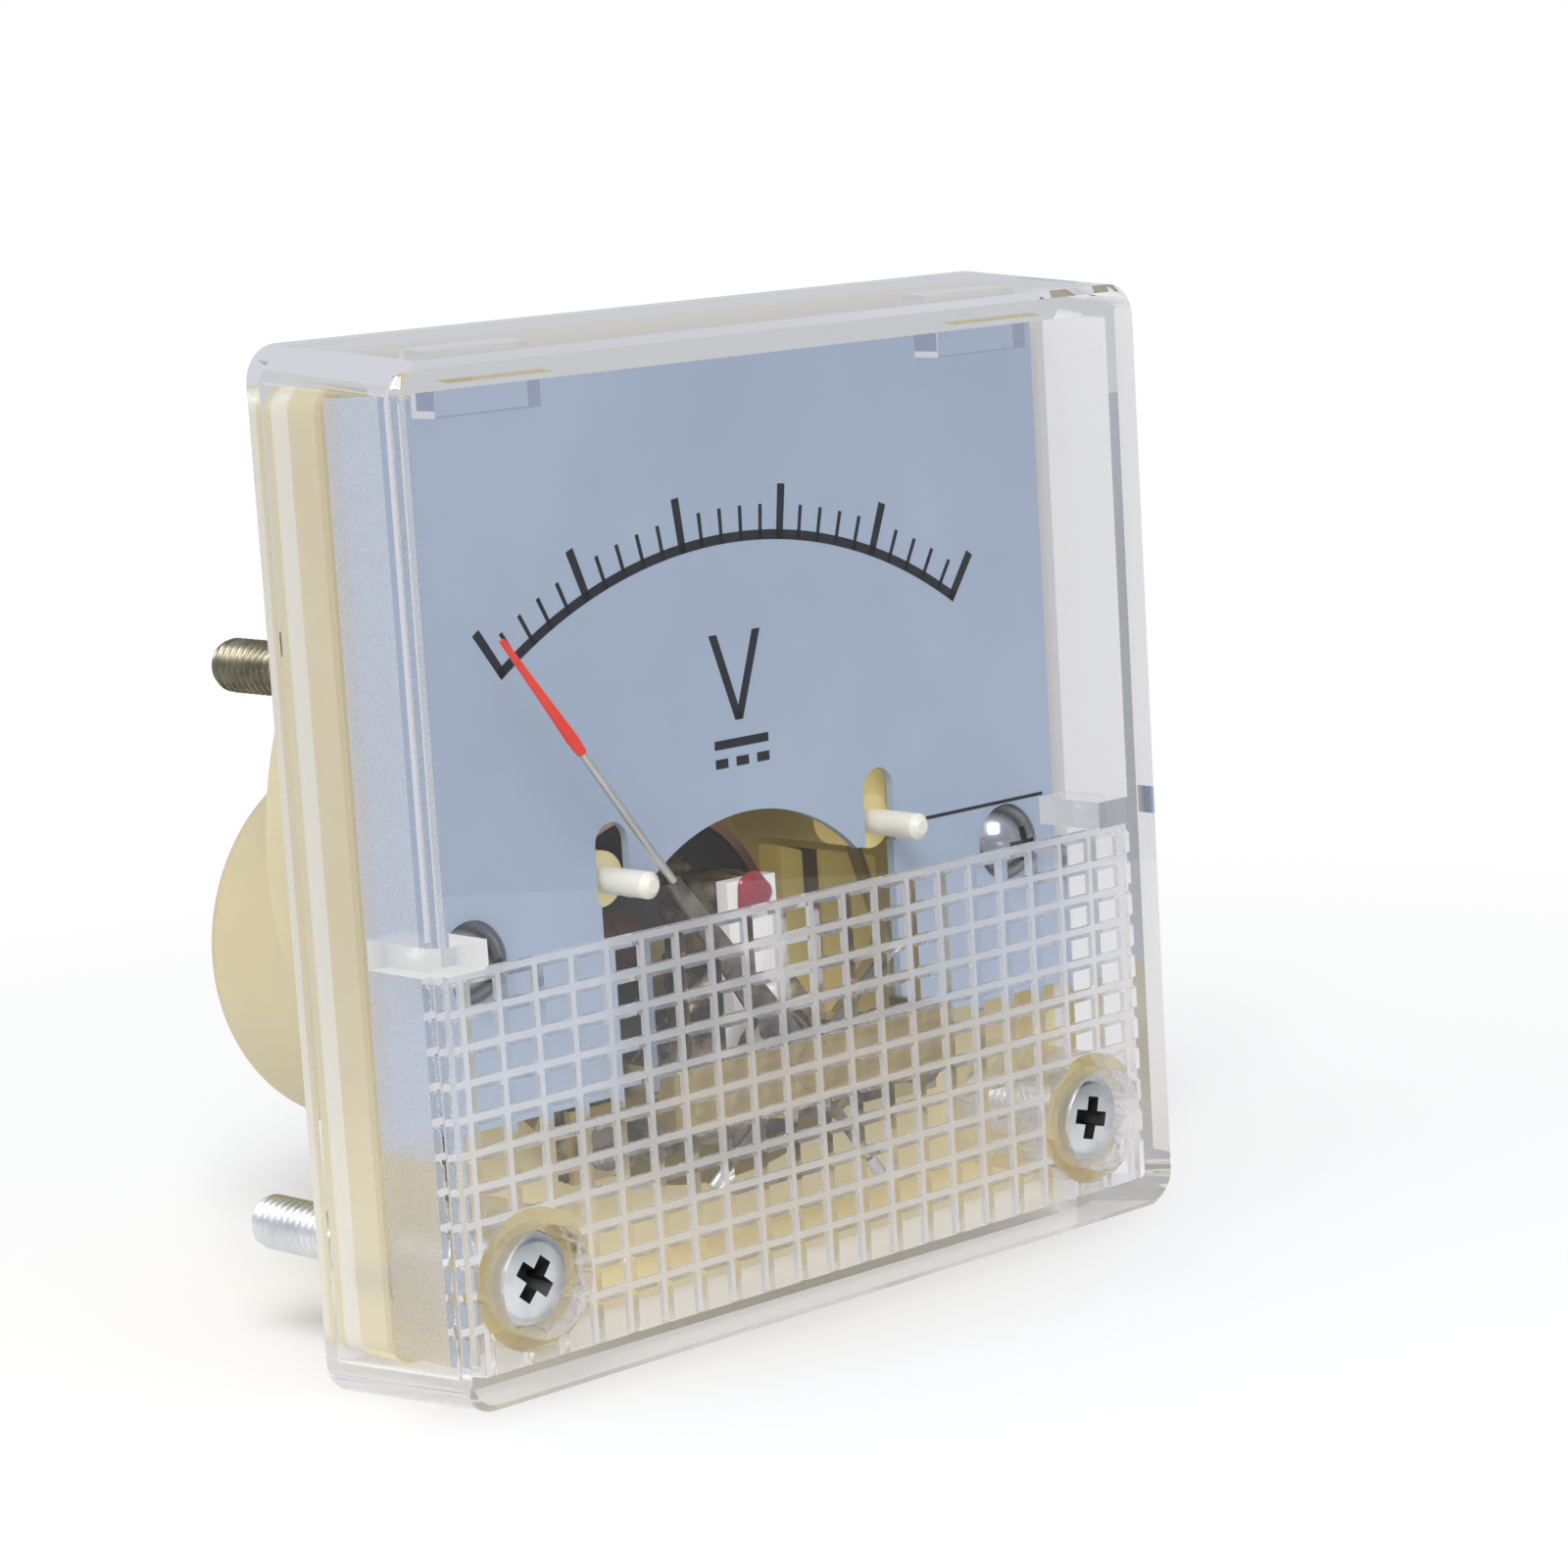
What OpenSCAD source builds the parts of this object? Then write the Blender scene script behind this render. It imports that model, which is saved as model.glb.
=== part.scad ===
// Small square moving-coil panel meter with a clear cover.
// X runs to the right seen from the front, Y runs from the face to the back, Z is up.
// The origin is on the axis of the barrel, on the plane that lies against the panel.

/* [Face and cover] */
// Width of the face
face_w = 44; // [42:0.5:50]
// Height of the face
face_h = 45; // [43:0.5:51]
// Thickness of the side walls of the cover
cover_wall = 1.4; // [1:0.1:2]
// Thickness of the window
window_t = 1.4; // [1:0.1:2]
// How far the top and the bottom lean in towards the front
cover_draft = 0.65; // [0.2:0.05:1.2]
// Radius of the four corners of the face
corner_r = 1.6; // [0.8:0.1:3]
// Rounding of the front edge
front_edge_r = 0.3; // [0.1:0.05:0.6]
// Spacing of the upright ribs inside the window
rib_pitch_x = 2; // [1.5:0.1:3]
// Spacing of the level ribs inside the window
rib_pitch_z = 1.5; // [1.2:0.1:3]
// Height of the ribs
rib_h = 0.4; // [0.2:0.05:0.6]
// Width of a rib at its foot
rib_w = 0.6; // [0.3:0.05:0.9]
// Drop from the middle of the face to the top of the ribbed field
rib_field_drop = 3.5; // [2:0.1:6]

/* [Mounting screws] */
// Distance of the screws from the sides of the face
screw_inset_x = 4.75; // [4.2:0.05:6]
// Distance of the screws from the bottom of the face
screw_inset_z = 5.5; // [4.6:0.1:7]
// Thread diameter of the mounting screws
screw_d = 2.5; // [2:0.1:3]
// Head diameter of the mounting screws
screw_head_d = 4.15; // [3.6:0.05:5]
// Head height of the mounting screws
screw_head_h = 1.45; // [1:0.05:2]
// Depth of the head below the face
screw_sink = 0.85; // [0.3:0.05:1.5]
// Length of screw behind the panel plane
screw_reach = 9.6; // [6:0.1:14]

/* [Base] */
// Depth of the tray that stands inside the cover
tray_depth = 3.75; // [3:0.05:5]
// Thickness of the tray's floor
tray_floor = 1.5; // [1:0.1:2]
// Thickness of the tray's wall
tray_wall = 1; // [0.8:0.1:1.6]
// Gap between the tray and the cover
tray_gap = 0.1; // [0.05:0.05:0.3]
// Diameter of the barrel that goes through the panel
barrel_d = 36; // [35:0.5:39]
// Length of the barrel behind the panel plane
barrel_len = 6.7; // [6:0.1:10]
// Wall of the barrel
barrel_wall = 1.5; // [1:0.1:2]
// Thickness of the barrel's rear wall
barrel_floor = 2.1; // [1.5:0.1:3]
// Drop from the middle of the face to the middle of the barrel
barrel_drop = 0.6; // [0:0.1:1.5]
// Diameter of the rear cap that holds the magnet system
cap_d = 18.6; // [18:0.1:21]
// Length of the cap behind the barrel
cap_len = 17.6; // [15:0.1:22]
// Wall of the cap
cap_wall = 1.3; // [1:0.1:1.8]

/* [Dial] */
// Thickness of the dial plate
dial_t = 0.45; // [0.3:0.05:0.8]
// Margin between the dial plate and the outside of the tray
dial_margin = 0.9; // [0.5:0.1:1.5]
// Radius of the arched opening in the dial
arch_r = 9.3; // [8.5:0.1:10]
// Width of the two notches for the stops
notch_w = 1.9; // [1.6:0.1:2.4]
// Diameter of the dial screws
dial_screw_d = 3.6; // [3:0.1:4]
// Distance of the dial screws from the side edges of the dial plate
dial_screw_inset = 3.3; // [2.8:0.1:4]
// Drop from the middle of the face to the dial screws
dial_screw_drop = 3.9; // [2:0.1:6]

/* [Pointer] */
// Drop from the middle of the face to the pivot
pivot_drop = 11.2; // [10.5:0.1:12]
// Whole swing of the pointer from stop to stop
swing = 72.9; // [60:0.1:90]
// Height of the pointer over the dial plate
pointer_gap = 2.6; // [2.2:0.1:3.5]
// Radius of the pointer's end
pointer_r = 26.2; // [24:0.1:28]
// Length of the red tip
tip_len = 6.6; // [4:0.1:9]
// Greatest width of the red tip
tip_w = 0.5; // [0.4:0.05:1.2]
// Diameter of the pointer tube
tube_d = 0.38; // [0.3:0.02:0.6]
// Radius from the pivot to the two stops
stop_r = 12.55; // [11.8:0.05:13]
// Diameter of the stop pegs
peg_d = 1.2; // [1:0.05:1.5]
// Play left between the pointer and a stop
stop_play = 0.17; // [0.1:0.01:0.3]

/* [Movement] */
// Diameter of the core magnet
core_d = 4.6; // [4:0.1:5]
// Length of the core magnet and of the yoke
core_len = 8; // [6:0.1:9]
// Air gap on each side of the coil
air_gap = 0.35; // [0.25:0.05:0.5]
// Thickness of the coil former
former_t = 0.15; // [0.1:0.05:0.2]
// Thickness of the winding
winding_t = 0.45; // [0.3:0.05:0.6]
// Width of the winding
winding_w = 1.6; // [1:0.1:2]
// Wall of the copper-plated yoke sleeve
sleeve_t = 0.45; // [0.3:0.05:0.7]
// How far the sleeve stands out of the barrel's rear wall
sleeve_lead = 1.7; // [1:0.1:2]
// Diameter of the staff
staff_d = 0.8; // [0.6:0.05:1]
// Turns of each hairspring
spring_turns = 4; // [3:1:6]
// Outer radius of each hairspring
spring_r = 2.8; // [2.4:0.1:3]

/* [Terminals] */
// Rise from the middle of the face to the terminals
terminal_rise = 7.1; // [5:0.1:8]
// Thread diameter of the terminals
terminal_d = 2.6; // [2.2:0.1:3]
// Length of the terminals behind the barrel
terminal_reach = 9.7; // [7:0.1:12]

/* [Hidden] */
$fn = 48;
eps = 0.01;
pivot_z = -pivot_drop;

// depths, from the face to the back
y_rim = -tray_depth;
y_dial = y_rim - dial_t;
y_ptr = y_dial - pointer_gap;
bridge_gap = 0.45;
bridge_t = 0.3;
rib_clear = 0.15;
y_bridge = y_ptr - bridge_gap - bridge_t;
y_win = y_bridge - rib_clear - rib_h;
y_face = y_win - window_t;
cover_depth = -y_face;
y_floor = barrel_len - barrel_floor;
y_cap_end = barrel_len + cap_len;

// lean of the top and bottom walls at a depth
function lean(y) = cover_draft * (-y) / cover_depth;

// tray and dial outlines
tray_w = face_w - 2 * (cover_wall + tray_gap);
tray_h = face_h - 2 * (cover_wall + tray_gap + lean(y_dial));
dial_w = tray_w - 2 * dial_margin;
dial_top = tray_h / 2 - dial_margin / 2;
tray_r = 1;

// mounting screws
screw_x = face_w / 2 - screw_inset_x;
screw_z = -face_h / 2 + screw_inset_z;
screw_clear = 0.15;
cup_d = screw_head_d + 0.75;
cup_wall = 0.65;
y_seat = y_face + screw_sink + screw_head_h;
cross_w = 0.65;
cross_span = 2.1;
cross_depth = 0.9;

// magnet system
core_r = core_d / 2;
former_in = core_r + air_gap;
former_out = former_in + former_t;
coil_out = former_out + winding_t;
bore_r = sqrt(coil_out * coil_out + winding_w * winding_w / 4) + air_gap * 0.7;
cap_in = cap_d / 2 - cap_wall;
sleeve_fit = 0.15;
sleeve_r = cap_in - sleeve_fit;
yoke_fit = 0.03;
yoke_r = sleeve_r - sleeve_t - yoke_fit;
yoke_min_wall = 0.6;
cap_z = pivot_z + yoke_r - bore_r - yoke_min_wall;
y_sleeve = y_floor - sleeve_lead;
strap_t = 0.35;
strap_w = 1.5;
y_core = y_sleeve + 0.3;
y_core_end = y_core + core_len;
coil_run = 0.3;
y_coil_in = y_core - strap_t - coil_run;
y_coil_in_end = y_core_end + strap_t + coil_run;
y_coil = y_coil_in - former_t - winding_t;
y_coil_end = y_coil_in_end + former_t + winding_t;
rear_room = 2;
plate_t = 0.6;
y_plate = y_coil_end + rear_room;
y_sleeve_end = y_plate + plate_t;
y_pocket = y_sleeve_end + 0.2;

// frame, bridge and zero lever
lever_t = 0.7;
lever_lead = 0.35;
y_frame = y_rim + lever_lead;
frame_t = 1;
frame_w = 3;
frame_top = pivot_z + 8.2;
frame_bar_h = 5;
leg_x = 8;
leg_t = 0.4;
foot_w = 2.8;
strip_h = 2.8;
foot_screw_z = pivot_z - 2;
foot_screw_x = leg_x + leg_t + foot_w / 2;
frame_screw_d = 1.4;
frame_screw_head = 2.2;
boss_r = 1.6;

// staff, jewels and hairsprings
staff_r = staff_d / 2;
pivot_len = 0.35;
cup_play = 0.05;
hub_t = 0.4;
hub_r = 1.2;
foot_t = 0.2;
jewel_r = 0.5;
jewel_t = 0.25;
jewel_screw_r = 1.1;
y_jewel = y_ptr - bridge_gap + cup_play;
y_jewel_rear = y_plate - cup_play;
spring_in = staff_r + 0.6;
spring_t = 0.12;
spring_h = 0.35;
collet_r = staff_r + 0.4;
y_spring = y_dial - 1.1;
y_spring_rear = y_coil_end + 0.9;
post_r = 0.3;

// stops
stop_angle = swing / 2 + asin((peg_d / 2 + tube_d / 2 + stop_play) / stop_r);
stop_x = stop_r * sin(stop_angle);
stop_z = pivot_z + stop_r * cos(stop_angle);
post_d = 2.5;
y_peg = y_ptr - 0.1;
peg_seat = 1.5;

// dial openings
open_half = stop_x + 0.7;
shoulder_z = stop_z - 0.95;
arch_z = pivot_z + 2;
notch_x = stop_x - 0.1;
notch_top = stop_z + 2.55;
dial_screw_x = dial_w / 2 - dial_screw_inset;
dial_screw_z = -dial_screw_drop;
dial_shank_d = 1.8;

// terminals
terminal_head_d = 4.2;
terminal_head_h = 1.2;
terminal_room = 0.06;
terminal_r = barrel_d / 2 - barrel_wall - terminal_head_d / 2 - terminal_room;
terminal_z = terminal_rise;
terminal_x = sqrt(pow(terminal_r, 2) - pow(terminal_rise + barrel_drop, 2));
washer_t = 0.5;
nut_af = 5;
nut_t = 2;
thread_start = 0.4;
relief = 0.17;
shank_hole = terminal_d / 2 - relief;

// series resistor
resistor_rise = 5.6;

// outlines of the pointer
balance_r = 6.2;
weight_len = 1.2;
weight_r = 0.3;
foot_r = 11.8;

// A front-view outline, extruded between two depths.
module slab(y0, y1) {
    translate([0, y1, 0])
        rotate([90, 0, 0])
            linear_extrude(height = y1 - y0)
                children();
}

// A round bar or cone along the depth.
module rod(x, z, y0, y1, r, r_end = -1) {
    translate([x, y0, z])
        rotate([-90, 0, 0])
            cylinder(h = y1 - y0, r1 = r, r2 = r_end < 0 ? r : r_end);
}

// A round wire between two points, with a ball at its start.
module wire(a, b, r) {
    d = b - a;
    len_ab = norm(d);
    translate(a) {
        sphere(r = r * 1.08, $fn = 24);
        rotate([0, acos(d[2] / len_ab), atan2(d[1], d[0])])
            cylinder(h = len_ab, r = r, $fn = 24);
    }
}

// A rectangle with round corners, made of squares and circles.
module round_rect(w, h, r) {
    square([w - 2 * r, h], center = true);
    square([w, h - 2 * r], center = true);
    for (sx = [-1, 1], sz = [-1, 1])
        translate([sx * (w / 2 - r), sz * (h / 2 - r)])
            circle(r = r);
}

// The same on the left and on the right.
module both_sides() {
    children();
    mirror([1, 0, 0])
        children();
}

// Pieces are drawn from the middle of the face, which lies above the axis of the barrel.
module from_face_middle() {
    translate([0, 0, barrel_drop])
        children();
}

// Everything that swings, set at its rest against the left stop.
module at_rest() {
    translate([0, 0, pivot_z])
        rotate([0, -swing / 2, 0])
            children();
}

// ---------------------------------------------------------------- cover

// A block with the leaning top and bottom of the cover, inset by a wall.
module cover_block(inset, y_front, edge) {
    r = max(corner_r - inset, 0.3);
    hull() {
        slab(-eps, 0)
            round_rect(face_w - 2 * inset, face_h - 2 * inset, r, $fn = 32);
        slab(y_front + edge - eps, y_front + edge)
            round_rect(face_w - 2 * inset, face_h - 2 * (inset + lean(y_front + edge)), r,
                $fn = 32);
        slab(y_front, y_front + eps)
            round_rect(face_w - 2 * (inset + edge),
                face_h - 2 * (inset + edge + lean(y_front)), max(r - edge, 0.2), $fn = 32);
    }
}

// The ribbed field that hides the movement.
module rib_field() {
    x_in = face_w / 2 - cover_wall;
    z_low = -face_h / 2 + cover_wall + lean(y_win);
    n_x = floor((x_in - rib_w / 2) / rib_pitch_x);
    n_z = floor((-rib_field_drop - z_low - rib_w) / rib_pitch_z);
    crest = rib_w / 4;
    foot = rib_w / 2;
    for (i = [-n_x : n_x])
        translate([i * rib_pitch_x, y_win, z_low - eps])
            linear_extrude(height = -rib_field_drop - z_low)
                polygon([[-foot, -eps], [foot, -eps], [crest, rib_h], [-crest, rib_h]]);
    for (k = [0 : n_z])
        translate([-x_in - eps, y_win, -rib_field_drop - k * rib_pitch_z])
            rotate([90, 0, 90])
                linear_extrude(height = 2 * x_in + 2 * eps)
                    polygon([[-eps, -foot], [rib_h, -crest], [rib_h, crest], [-eps, foot]]);
}

// Clear moulded cover with window, ribs, screw cups and the lugs that hold the dial.
module front_cover() {
    lug_w = 5.7;
    lug_x = 11.8;
    lug_drop = 1.6;
    side_lug_z = -3.4;
    side_lug_h = 1.3;
    side_lug_reach = 2;
    color([0.93, 0.94, 0.97, 0.35])
    from_face_middle()
    difference() {
        union() {
            difference() {
                cover_block(0, y_face, front_edge_r);
                difference() {
                    translate([0, eps, 0])
                        cover_block(cover_wall, y_win - eps, eps);
                    rib_field();
                    both_sides()
                        rod(screw_x, screw_z, y_win - 2 * eps, -tray_floor,
                            cup_d / 2 + cup_wall);
                    both_sides()
                        translate([lug_x, y_dial - 1.7,
                                face_h / 2 - cover_wall - lean(y_dial) - lug_drop])
                            cube([lug_w, 1.5, lug_drop + 2]);
                    both_sides()
                        translate([face_w / 2 - cover_wall - side_lug_reach, y_win - eps,
                                side_lug_z])
                            cube([side_lug_reach + 1, y_dial - y_win - 0.05, side_lug_h]);
                }
            }
        }
        both_sides() {
            rod(screw_x, screw_z, y_face - 1, y_seat, cup_d / 2);
            rod(screw_x, screw_z, y_face, 1, screw_d / 2 + screw_clear);
        }
    }
}

// ---------------------------------------------------------------- base

// Posts that the stop pegs are pressed into, with a web beside the right one.
module stop_posts(y_end) {
    web_w = 2.1;
    web_top = notch_top + 0.2;
    both_sides()
        rod(stop_x, stop_z, y_rim + 0.3, y_end, post_d / 2);
    translate([notch_x - notch_w / 2 + 0.2, y_rim + 0.45, stop_z])
        cube([web_w, y_end - y_rim - 0.45, web_top - stop_z]);
}

// Cream moulded base: tray inside the cover, barrel through the panel, cap behind.
module base_housing() {
    round_r = 1.4;
    slot_x = 11;
    slot_w = 1.2;
    slot_len = 5;
    color([0.93, 0.88, 0.68])
    from_face_middle()
    difference() {
        union() {
            slab(y_rim, 0)
                difference() {
                    round_rect(tray_w, tray_h, tray_r);
                    round_rect(tray_w - 2 * tray_wall, tray_h - 2 * tray_wall, tray_r / 2);
                }
            slab(-tray_floor, 0)
                round_rect(tray_w, tray_h, tray_r);
            rod(0, -barrel_drop, -eps, barrel_len, barrel_d / 2);
            translate([0, barrel_len, cap_z])
                rotate([-90, 0, 0])
                    rotate_extrude($fn = 96)
                        intersection() {
                            union() {
                                translate([0, -eps])
                                    square([cap_d / 2, cap_len - round_r + eps]);
                                square([cap_d / 2 - round_r, cap_len]);
                                translate([cap_d / 2 - round_r, cap_len - round_r])
                                    circle(r = round_r);
                            }
                            translate([0, -1])
                                square([cap_d, cap_len + 2]);
                        }
            both_sides()
                rod(dial_screw_x, dial_screw_z, y_rim, 0, 2);
            stop_posts(0);
        }
        difference() {
            rod(0, -barrel_drop, -tray_floor - 1, y_floor, barrel_d / 2 - barrel_wall);
            stop_posts(y_floor + 1);
            both_sides() {
                rod(dial_screw_x, dial_screw_z, y_rim - 1, y_floor + 1, 2);
                rod(foot_screw_x, foot_screw_z, y_frame + frame_t, y_floor + 1, boss_r);
            }
        }
        rod(0, cap_z, y_floor - 1, y_pocket, cap_in);
        rod(0, cap_z, y_pocket - eps, y_cap_end - cap_wall, cap_in - 1.5);
        translate([slot_x, y_floor - eps, slot_len / -2 - 7])
            cube([slot_w, 1, slot_len]);
        both_sides() {
            rod(screw_x, screw_z, y_rim - 1, -tray_floor, cup_d / 2 + cup_wall + tray_gap);
            rod(screw_x, screw_z, -tray_floor - 1, 1, screw_d / 2 + screw_clear);
            rod(dial_screw_x, dial_screw_z, y_rim - 1, y_rim + 3.2, dial_shank_d / 2);
            rod(stop_x, stop_z, y_rim - 1, y_rim + 0.3 + peg_seat, peg_d / 2);
            rod(foot_screw_x, foot_screw_z, y_frame - 1, y_frame + frame_t + 3,
                frame_screw_d / 2);
            rod(terminal_x, terminal_z, y_floor - 1, barrel_len + 1, shank_hole);
        }
    }
}

// ---------------------------------------------------------------- dial

// Painted metal dial plate with the arched opening and the notches for the stops.
module dial_plate() {
    color([0.65, 0.71, 0.79])
    from_face_middle()
    slab(y_dial, y_rim)
        difference() {
            translate([-dial_w / 2, pivot_z])
                square([dial_w, dial_top - pivot_z]);
            intersection() {
                translate([0, arch_z])
                    circle(r = arch_r, $fn = 96);
                translate([-open_half, pivot_z])
                    square([2 * open_half, 3 * arch_r]);
            }
            translate([-open_half, pivot_z - 1])
                square([2 * open_half, shoulder_z - pivot_z + 1]);
            for (s = [-1, 1]) {
                translate([s * notch_x, notch_top - notch_w / 2])
                    circle(d = notch_w);
                translate([s * notch_x - notch_w / 2, shoulder_z - eps])
                    square([notch_w, notch_top - notch_w / 2 - shoulder_z + eps]);
                translate([s * dial_screw_x, dial_screw_z])
                    circle(d = dial_shank_d);
            }
        }
}

// Domed screws that hold the dial plate on the base.
module dial_screws() {
    dome_h = 1.2;
    dome_r = (dial_screw_d * dial_screw_d / 4 + dome_h * dome_h) / (2 * dome_h);
    color("silver")
    from_face_middle()
    both_sides()
        difference() {
            union() {
                intersection() {
                    translate([dial_screw_x, y_dial - dome_h + dome_r, dial_screw_z])
                        sphere(r = dome_r, $fn = 64);
                    rod(dial_screw_x, dial_screw_z, y_dial - dome_h - 1, y_dial,
                        dial_screw_d / 2 + 1);
                }
                rod(dial_screw_x, dial_screw_z, y_dial - eps, y_rim + 3, dial_shank_d / 2 - 0.05);
            }
            translate([dial_screw_x, y_dial - dome_h, dial_screw_z]) {
                cube([1.6, 1.1, 0.4], center = true);
                cube([0.4, 1.1, 1.6], center = true);
            }
        }
}

// ---------------------------------------------------------------- fasteners

// Long cross-head screws that hold the cover and the base on the panel.
module mounting_screws() {
    crown = 0.5;
    tip = 0.5;
    color([0.78, 0.8, 0.82])
    from_face_middle()
    for (s = [-1, 1])
        difference() {
            union() {
                rod(s * screw_x, screw_z, y_seat - screw_head_h + crown, y_seat,
                    screw_head_d / 2);
                rod(s * screw_x, screw_z, y_seat - screw_head_h, y_seat - screw_head_h + crown,
                    screw_head_d / 2 - crown, screw_head_d / 2);
                rod(s * screw_x, screw_z, y_seat - eps, thread_start, screw_d / 2 - relief);
                rod(s * screw_x, screw_z, thread_start - eps, screw_reach - tip, screw_d / 2);
                rod(s * screw_x, screw_z, screw_reach - tip, screw_reach, screw_d / 2,
                    screw_d / 2 - tip);
            }
            translate([s * screw_x, y_seat - screw_head_h, screw_z])
                rotate([0, s < 0 ? 40 : 15, 0]) {
                    cube([cross_span, 2 * cross_depth, cross_w], center = true);
                    cube([cross_w, 2 * cross_depth, cross_span], center = true);
                }
        }
}

// Terminal studs with a round head inside the barrel.
module terminal_studs() {
    y_end = barrel_len + terminal_reach;
    y_nut = barrel_len + washer_t + nut_t + thread_start;
    dome = 0.9;
    color([0.45, 0.44, 0.38])
    from_face_middle()
    both_sides() {
        rod(terminal_x, terminal_z, y_floor - terminal_head_h, y_floor, terminal_head_d / 2);
        rod(terminal_x, terminal_z, y_floor - eps, y_nut, terminal_d / 2 - 0.05 - relief);
        rod(terminal_x, terminal_z, y_nut - eps, y_end - dome, terminal_d / 2 - 0.05);
        rod(terminal_x, terminal_z, y_end - dome, y_end, terminal_d / 2 - 0.05,
            terminal_d / 2 - 0.7);
    }
}

// Plain washers under the terminal nuts.
module terminal_washers() {
    color("silver")
    from_face_middle()
    both_sides()
        difference() {
            rod(terminal_x, terminal_z, barrel_len, barrel_len + washer_t, nut_af / 2 + 0.4);
            rod(terminal_x, terminal_z, barrel_len - 1, barrel_len + 1, shank_hole);
        }
}

// Hexagon nuts of the terminals.
module terminal_nuts() {
    y0 = barrel_len + washer_t;
    color([0.72, 0.7, 0.62])
    from_face_middle()
    both_sides()
        difference() {
            intersection() {
                translate([terminal_x, y0, terminal_z])
                    rotate([-90, 0, 0])
                        cylinder(h = nut_t, d = nut_af / cos(30), $fn = 6);
                rod(terminal_x, terminal_z, y0 - 3, y0 + nut_t, nut_af / 2 + 3.55,
                    nut_af / 2 + 0.1);
            }
            rod(terminal_x, terminal_z, y0 - 1, y0 + nut_t + 1, shank_hole);
        }
}

// Nylon pegs pressed into the base that stop the pointer.
module stop_pegs() {
    nose = 0.3;
    color([0.88, 0.87, 0.79])
    from_face_middle()
    both_sides() {
        rod(stop_x, stop_z, y_peg + nose, y_rim + 0.3 + peg_seat, peg_d / 2);
        rod(stop_x, stop_z, y_peg, y_peg + nose, peg_d / 2 - nose, peg_d / 2);
    }
}

// ---------------------------------------------------------------- magnet system

// Copper-plated steel sleeve round the yoke, pushed into the cap.
module yoke_sleeve() {
    color([0.72, 0.48, 0.4])
    from_face_middle()
    difference() {
        rod(0, cap_z, y_sleeve, y_sleeve_end, sleeve_r);
        rod(0, cap_z, y_sleeve - 1, y_sleeve_end + 1, sleeve_r - sleeve_t);
    }
}

// Soft-iron yoke with its bore round the pivot, off the middle of the sleeve.
module yoke_block() {
    color([0.1, 0.1, 0.11])
    from_face_middle()
    difference() {
        rod(0, cap_z, y_core, y_core_end, yoke_r);
        rod(0, pivot_z, y_core - 1, y_core_end + 1, bore_r);
    }
}

// Round core magnet inside the coil.
module core_magnet() {
    color([0.42, 0.43, 0.45])
    from_face_middle()
    rod(0, pivot_z, y_core, y_core_end, core_r);
}

// Brass straps that carry the core between the ends of the yoke.
module core_straps() {
    low = bore_r + yoke_min_wall * 0.6;
    high = bore_r + 1.6;
    color([0.78, 0.64, 0.3])
    from_face_middle()
    for (y = [y_core - strap_t, y_core_end])
        translate([-strap_w / 2, y, pivot_z - low])
            cube([strap_w, strap_t, low + high]);
}

// Round rear plate with the rear jewel screw and the post of the rear hairspring.
module rear_plate() {
    color([0.66, 0.63, 0.52])
    from_face_middle()
    difference() {
        union() {
            rod(0, cap_z, y_plate, y_sleeve_end, yoke_r);
            rod(0, pivot_z + spring_r + post_r, y_spring_rear, y_plate + eps, post_r);
        }
        rod(0, pivot_z, y_plate - 1, y_sleeve_end + 1, jewel_screw_r);
        for (s = [-1, 1])
            rod(s * yoke_r / 2, cap_z + 1, y_plate - 1, y_sleeve_end + 1, yoke_r / 4);
    }
}

// Cast frame: an upright block behind the zero lever and a bar across the opening.
module movement_frame() {
    y_back = y_sleeve - 2.3;
    color([0.44, 0.43, 0.36])
    from_face_middle()
    difference() {
        union() {
            translate([-frame_w / 2, y_frame, pivot_z])
                cube([frame_w, y_back - y_frame, frame_top - pivot_z]);
            translate([-frame_w / 2 - 0.1, y_back - 0.6, pivot_z + 2])
                cube([frame_w / 2 + 0.4, 0.6, frame_top - pivot_z - 1.2]);
            slab(y_frame, y_frame + frame_t) {
                translate([-foot_screw_x - boss_r, foot_screw_z - boss_r])
                    square([2 * (foot_screw_x + boss_r), frame_bar_h / 2 + boss_r]);
                translate([0, pivot_z])
                    circle(r = 4.4);
            }
        }
        rod(0, pivot_z, y_frame - 1, y_back + 1, staff_r + 1);
        both_sides()
            rod(foot_screw_x, foot_screw_z, y_frame - 1, y_frame + frame_t + 1,
                frame_screw_d / 2 + 0.1);
        translate([-frame_w, y_frame + frame_t, pivot_z - 3])
            cube([2 * frame_w, y_back, 5]);
    }
}

// Brass bridge in front of the pointer that carries the front jewel screw.
module front_bridge() {
    leg_low = foot_screw_z - boss_r;
    leg_high = pivot_z + strip_h / 2;
    color([0.8, 0.66, 0.3])
    from_face_middle()
    difference() {
        union() {
            translate([-leg_x - leg_t, y_bridge, pivot_z - strip_h / 2])
                cube([2 * (leg_x + leg_t), bridge_t, strip_h]);
            both_sides() {
                translate([leg_x, y_bridge, pivot_z - strip_h / 2])
                    cube([leg_t, y_frame - y_bridge, strip_h]);
                translate([leg_x, y_frame - leg_t, leg_low])
                    cube([leg_t + foot_w, leg_t, pivot_z - 0.3 - leg_low]);
            }
        }
        rod(0, pivot_z, y_bridge - 1, y_bridge + 1, jewel_screw_r);
        both_sides()
            rod(foot_screw_x, foot_screw_z, y_frame - 1, y_frame + 1, frame_screw_d / 2 + 0.1);
    }
}

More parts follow.
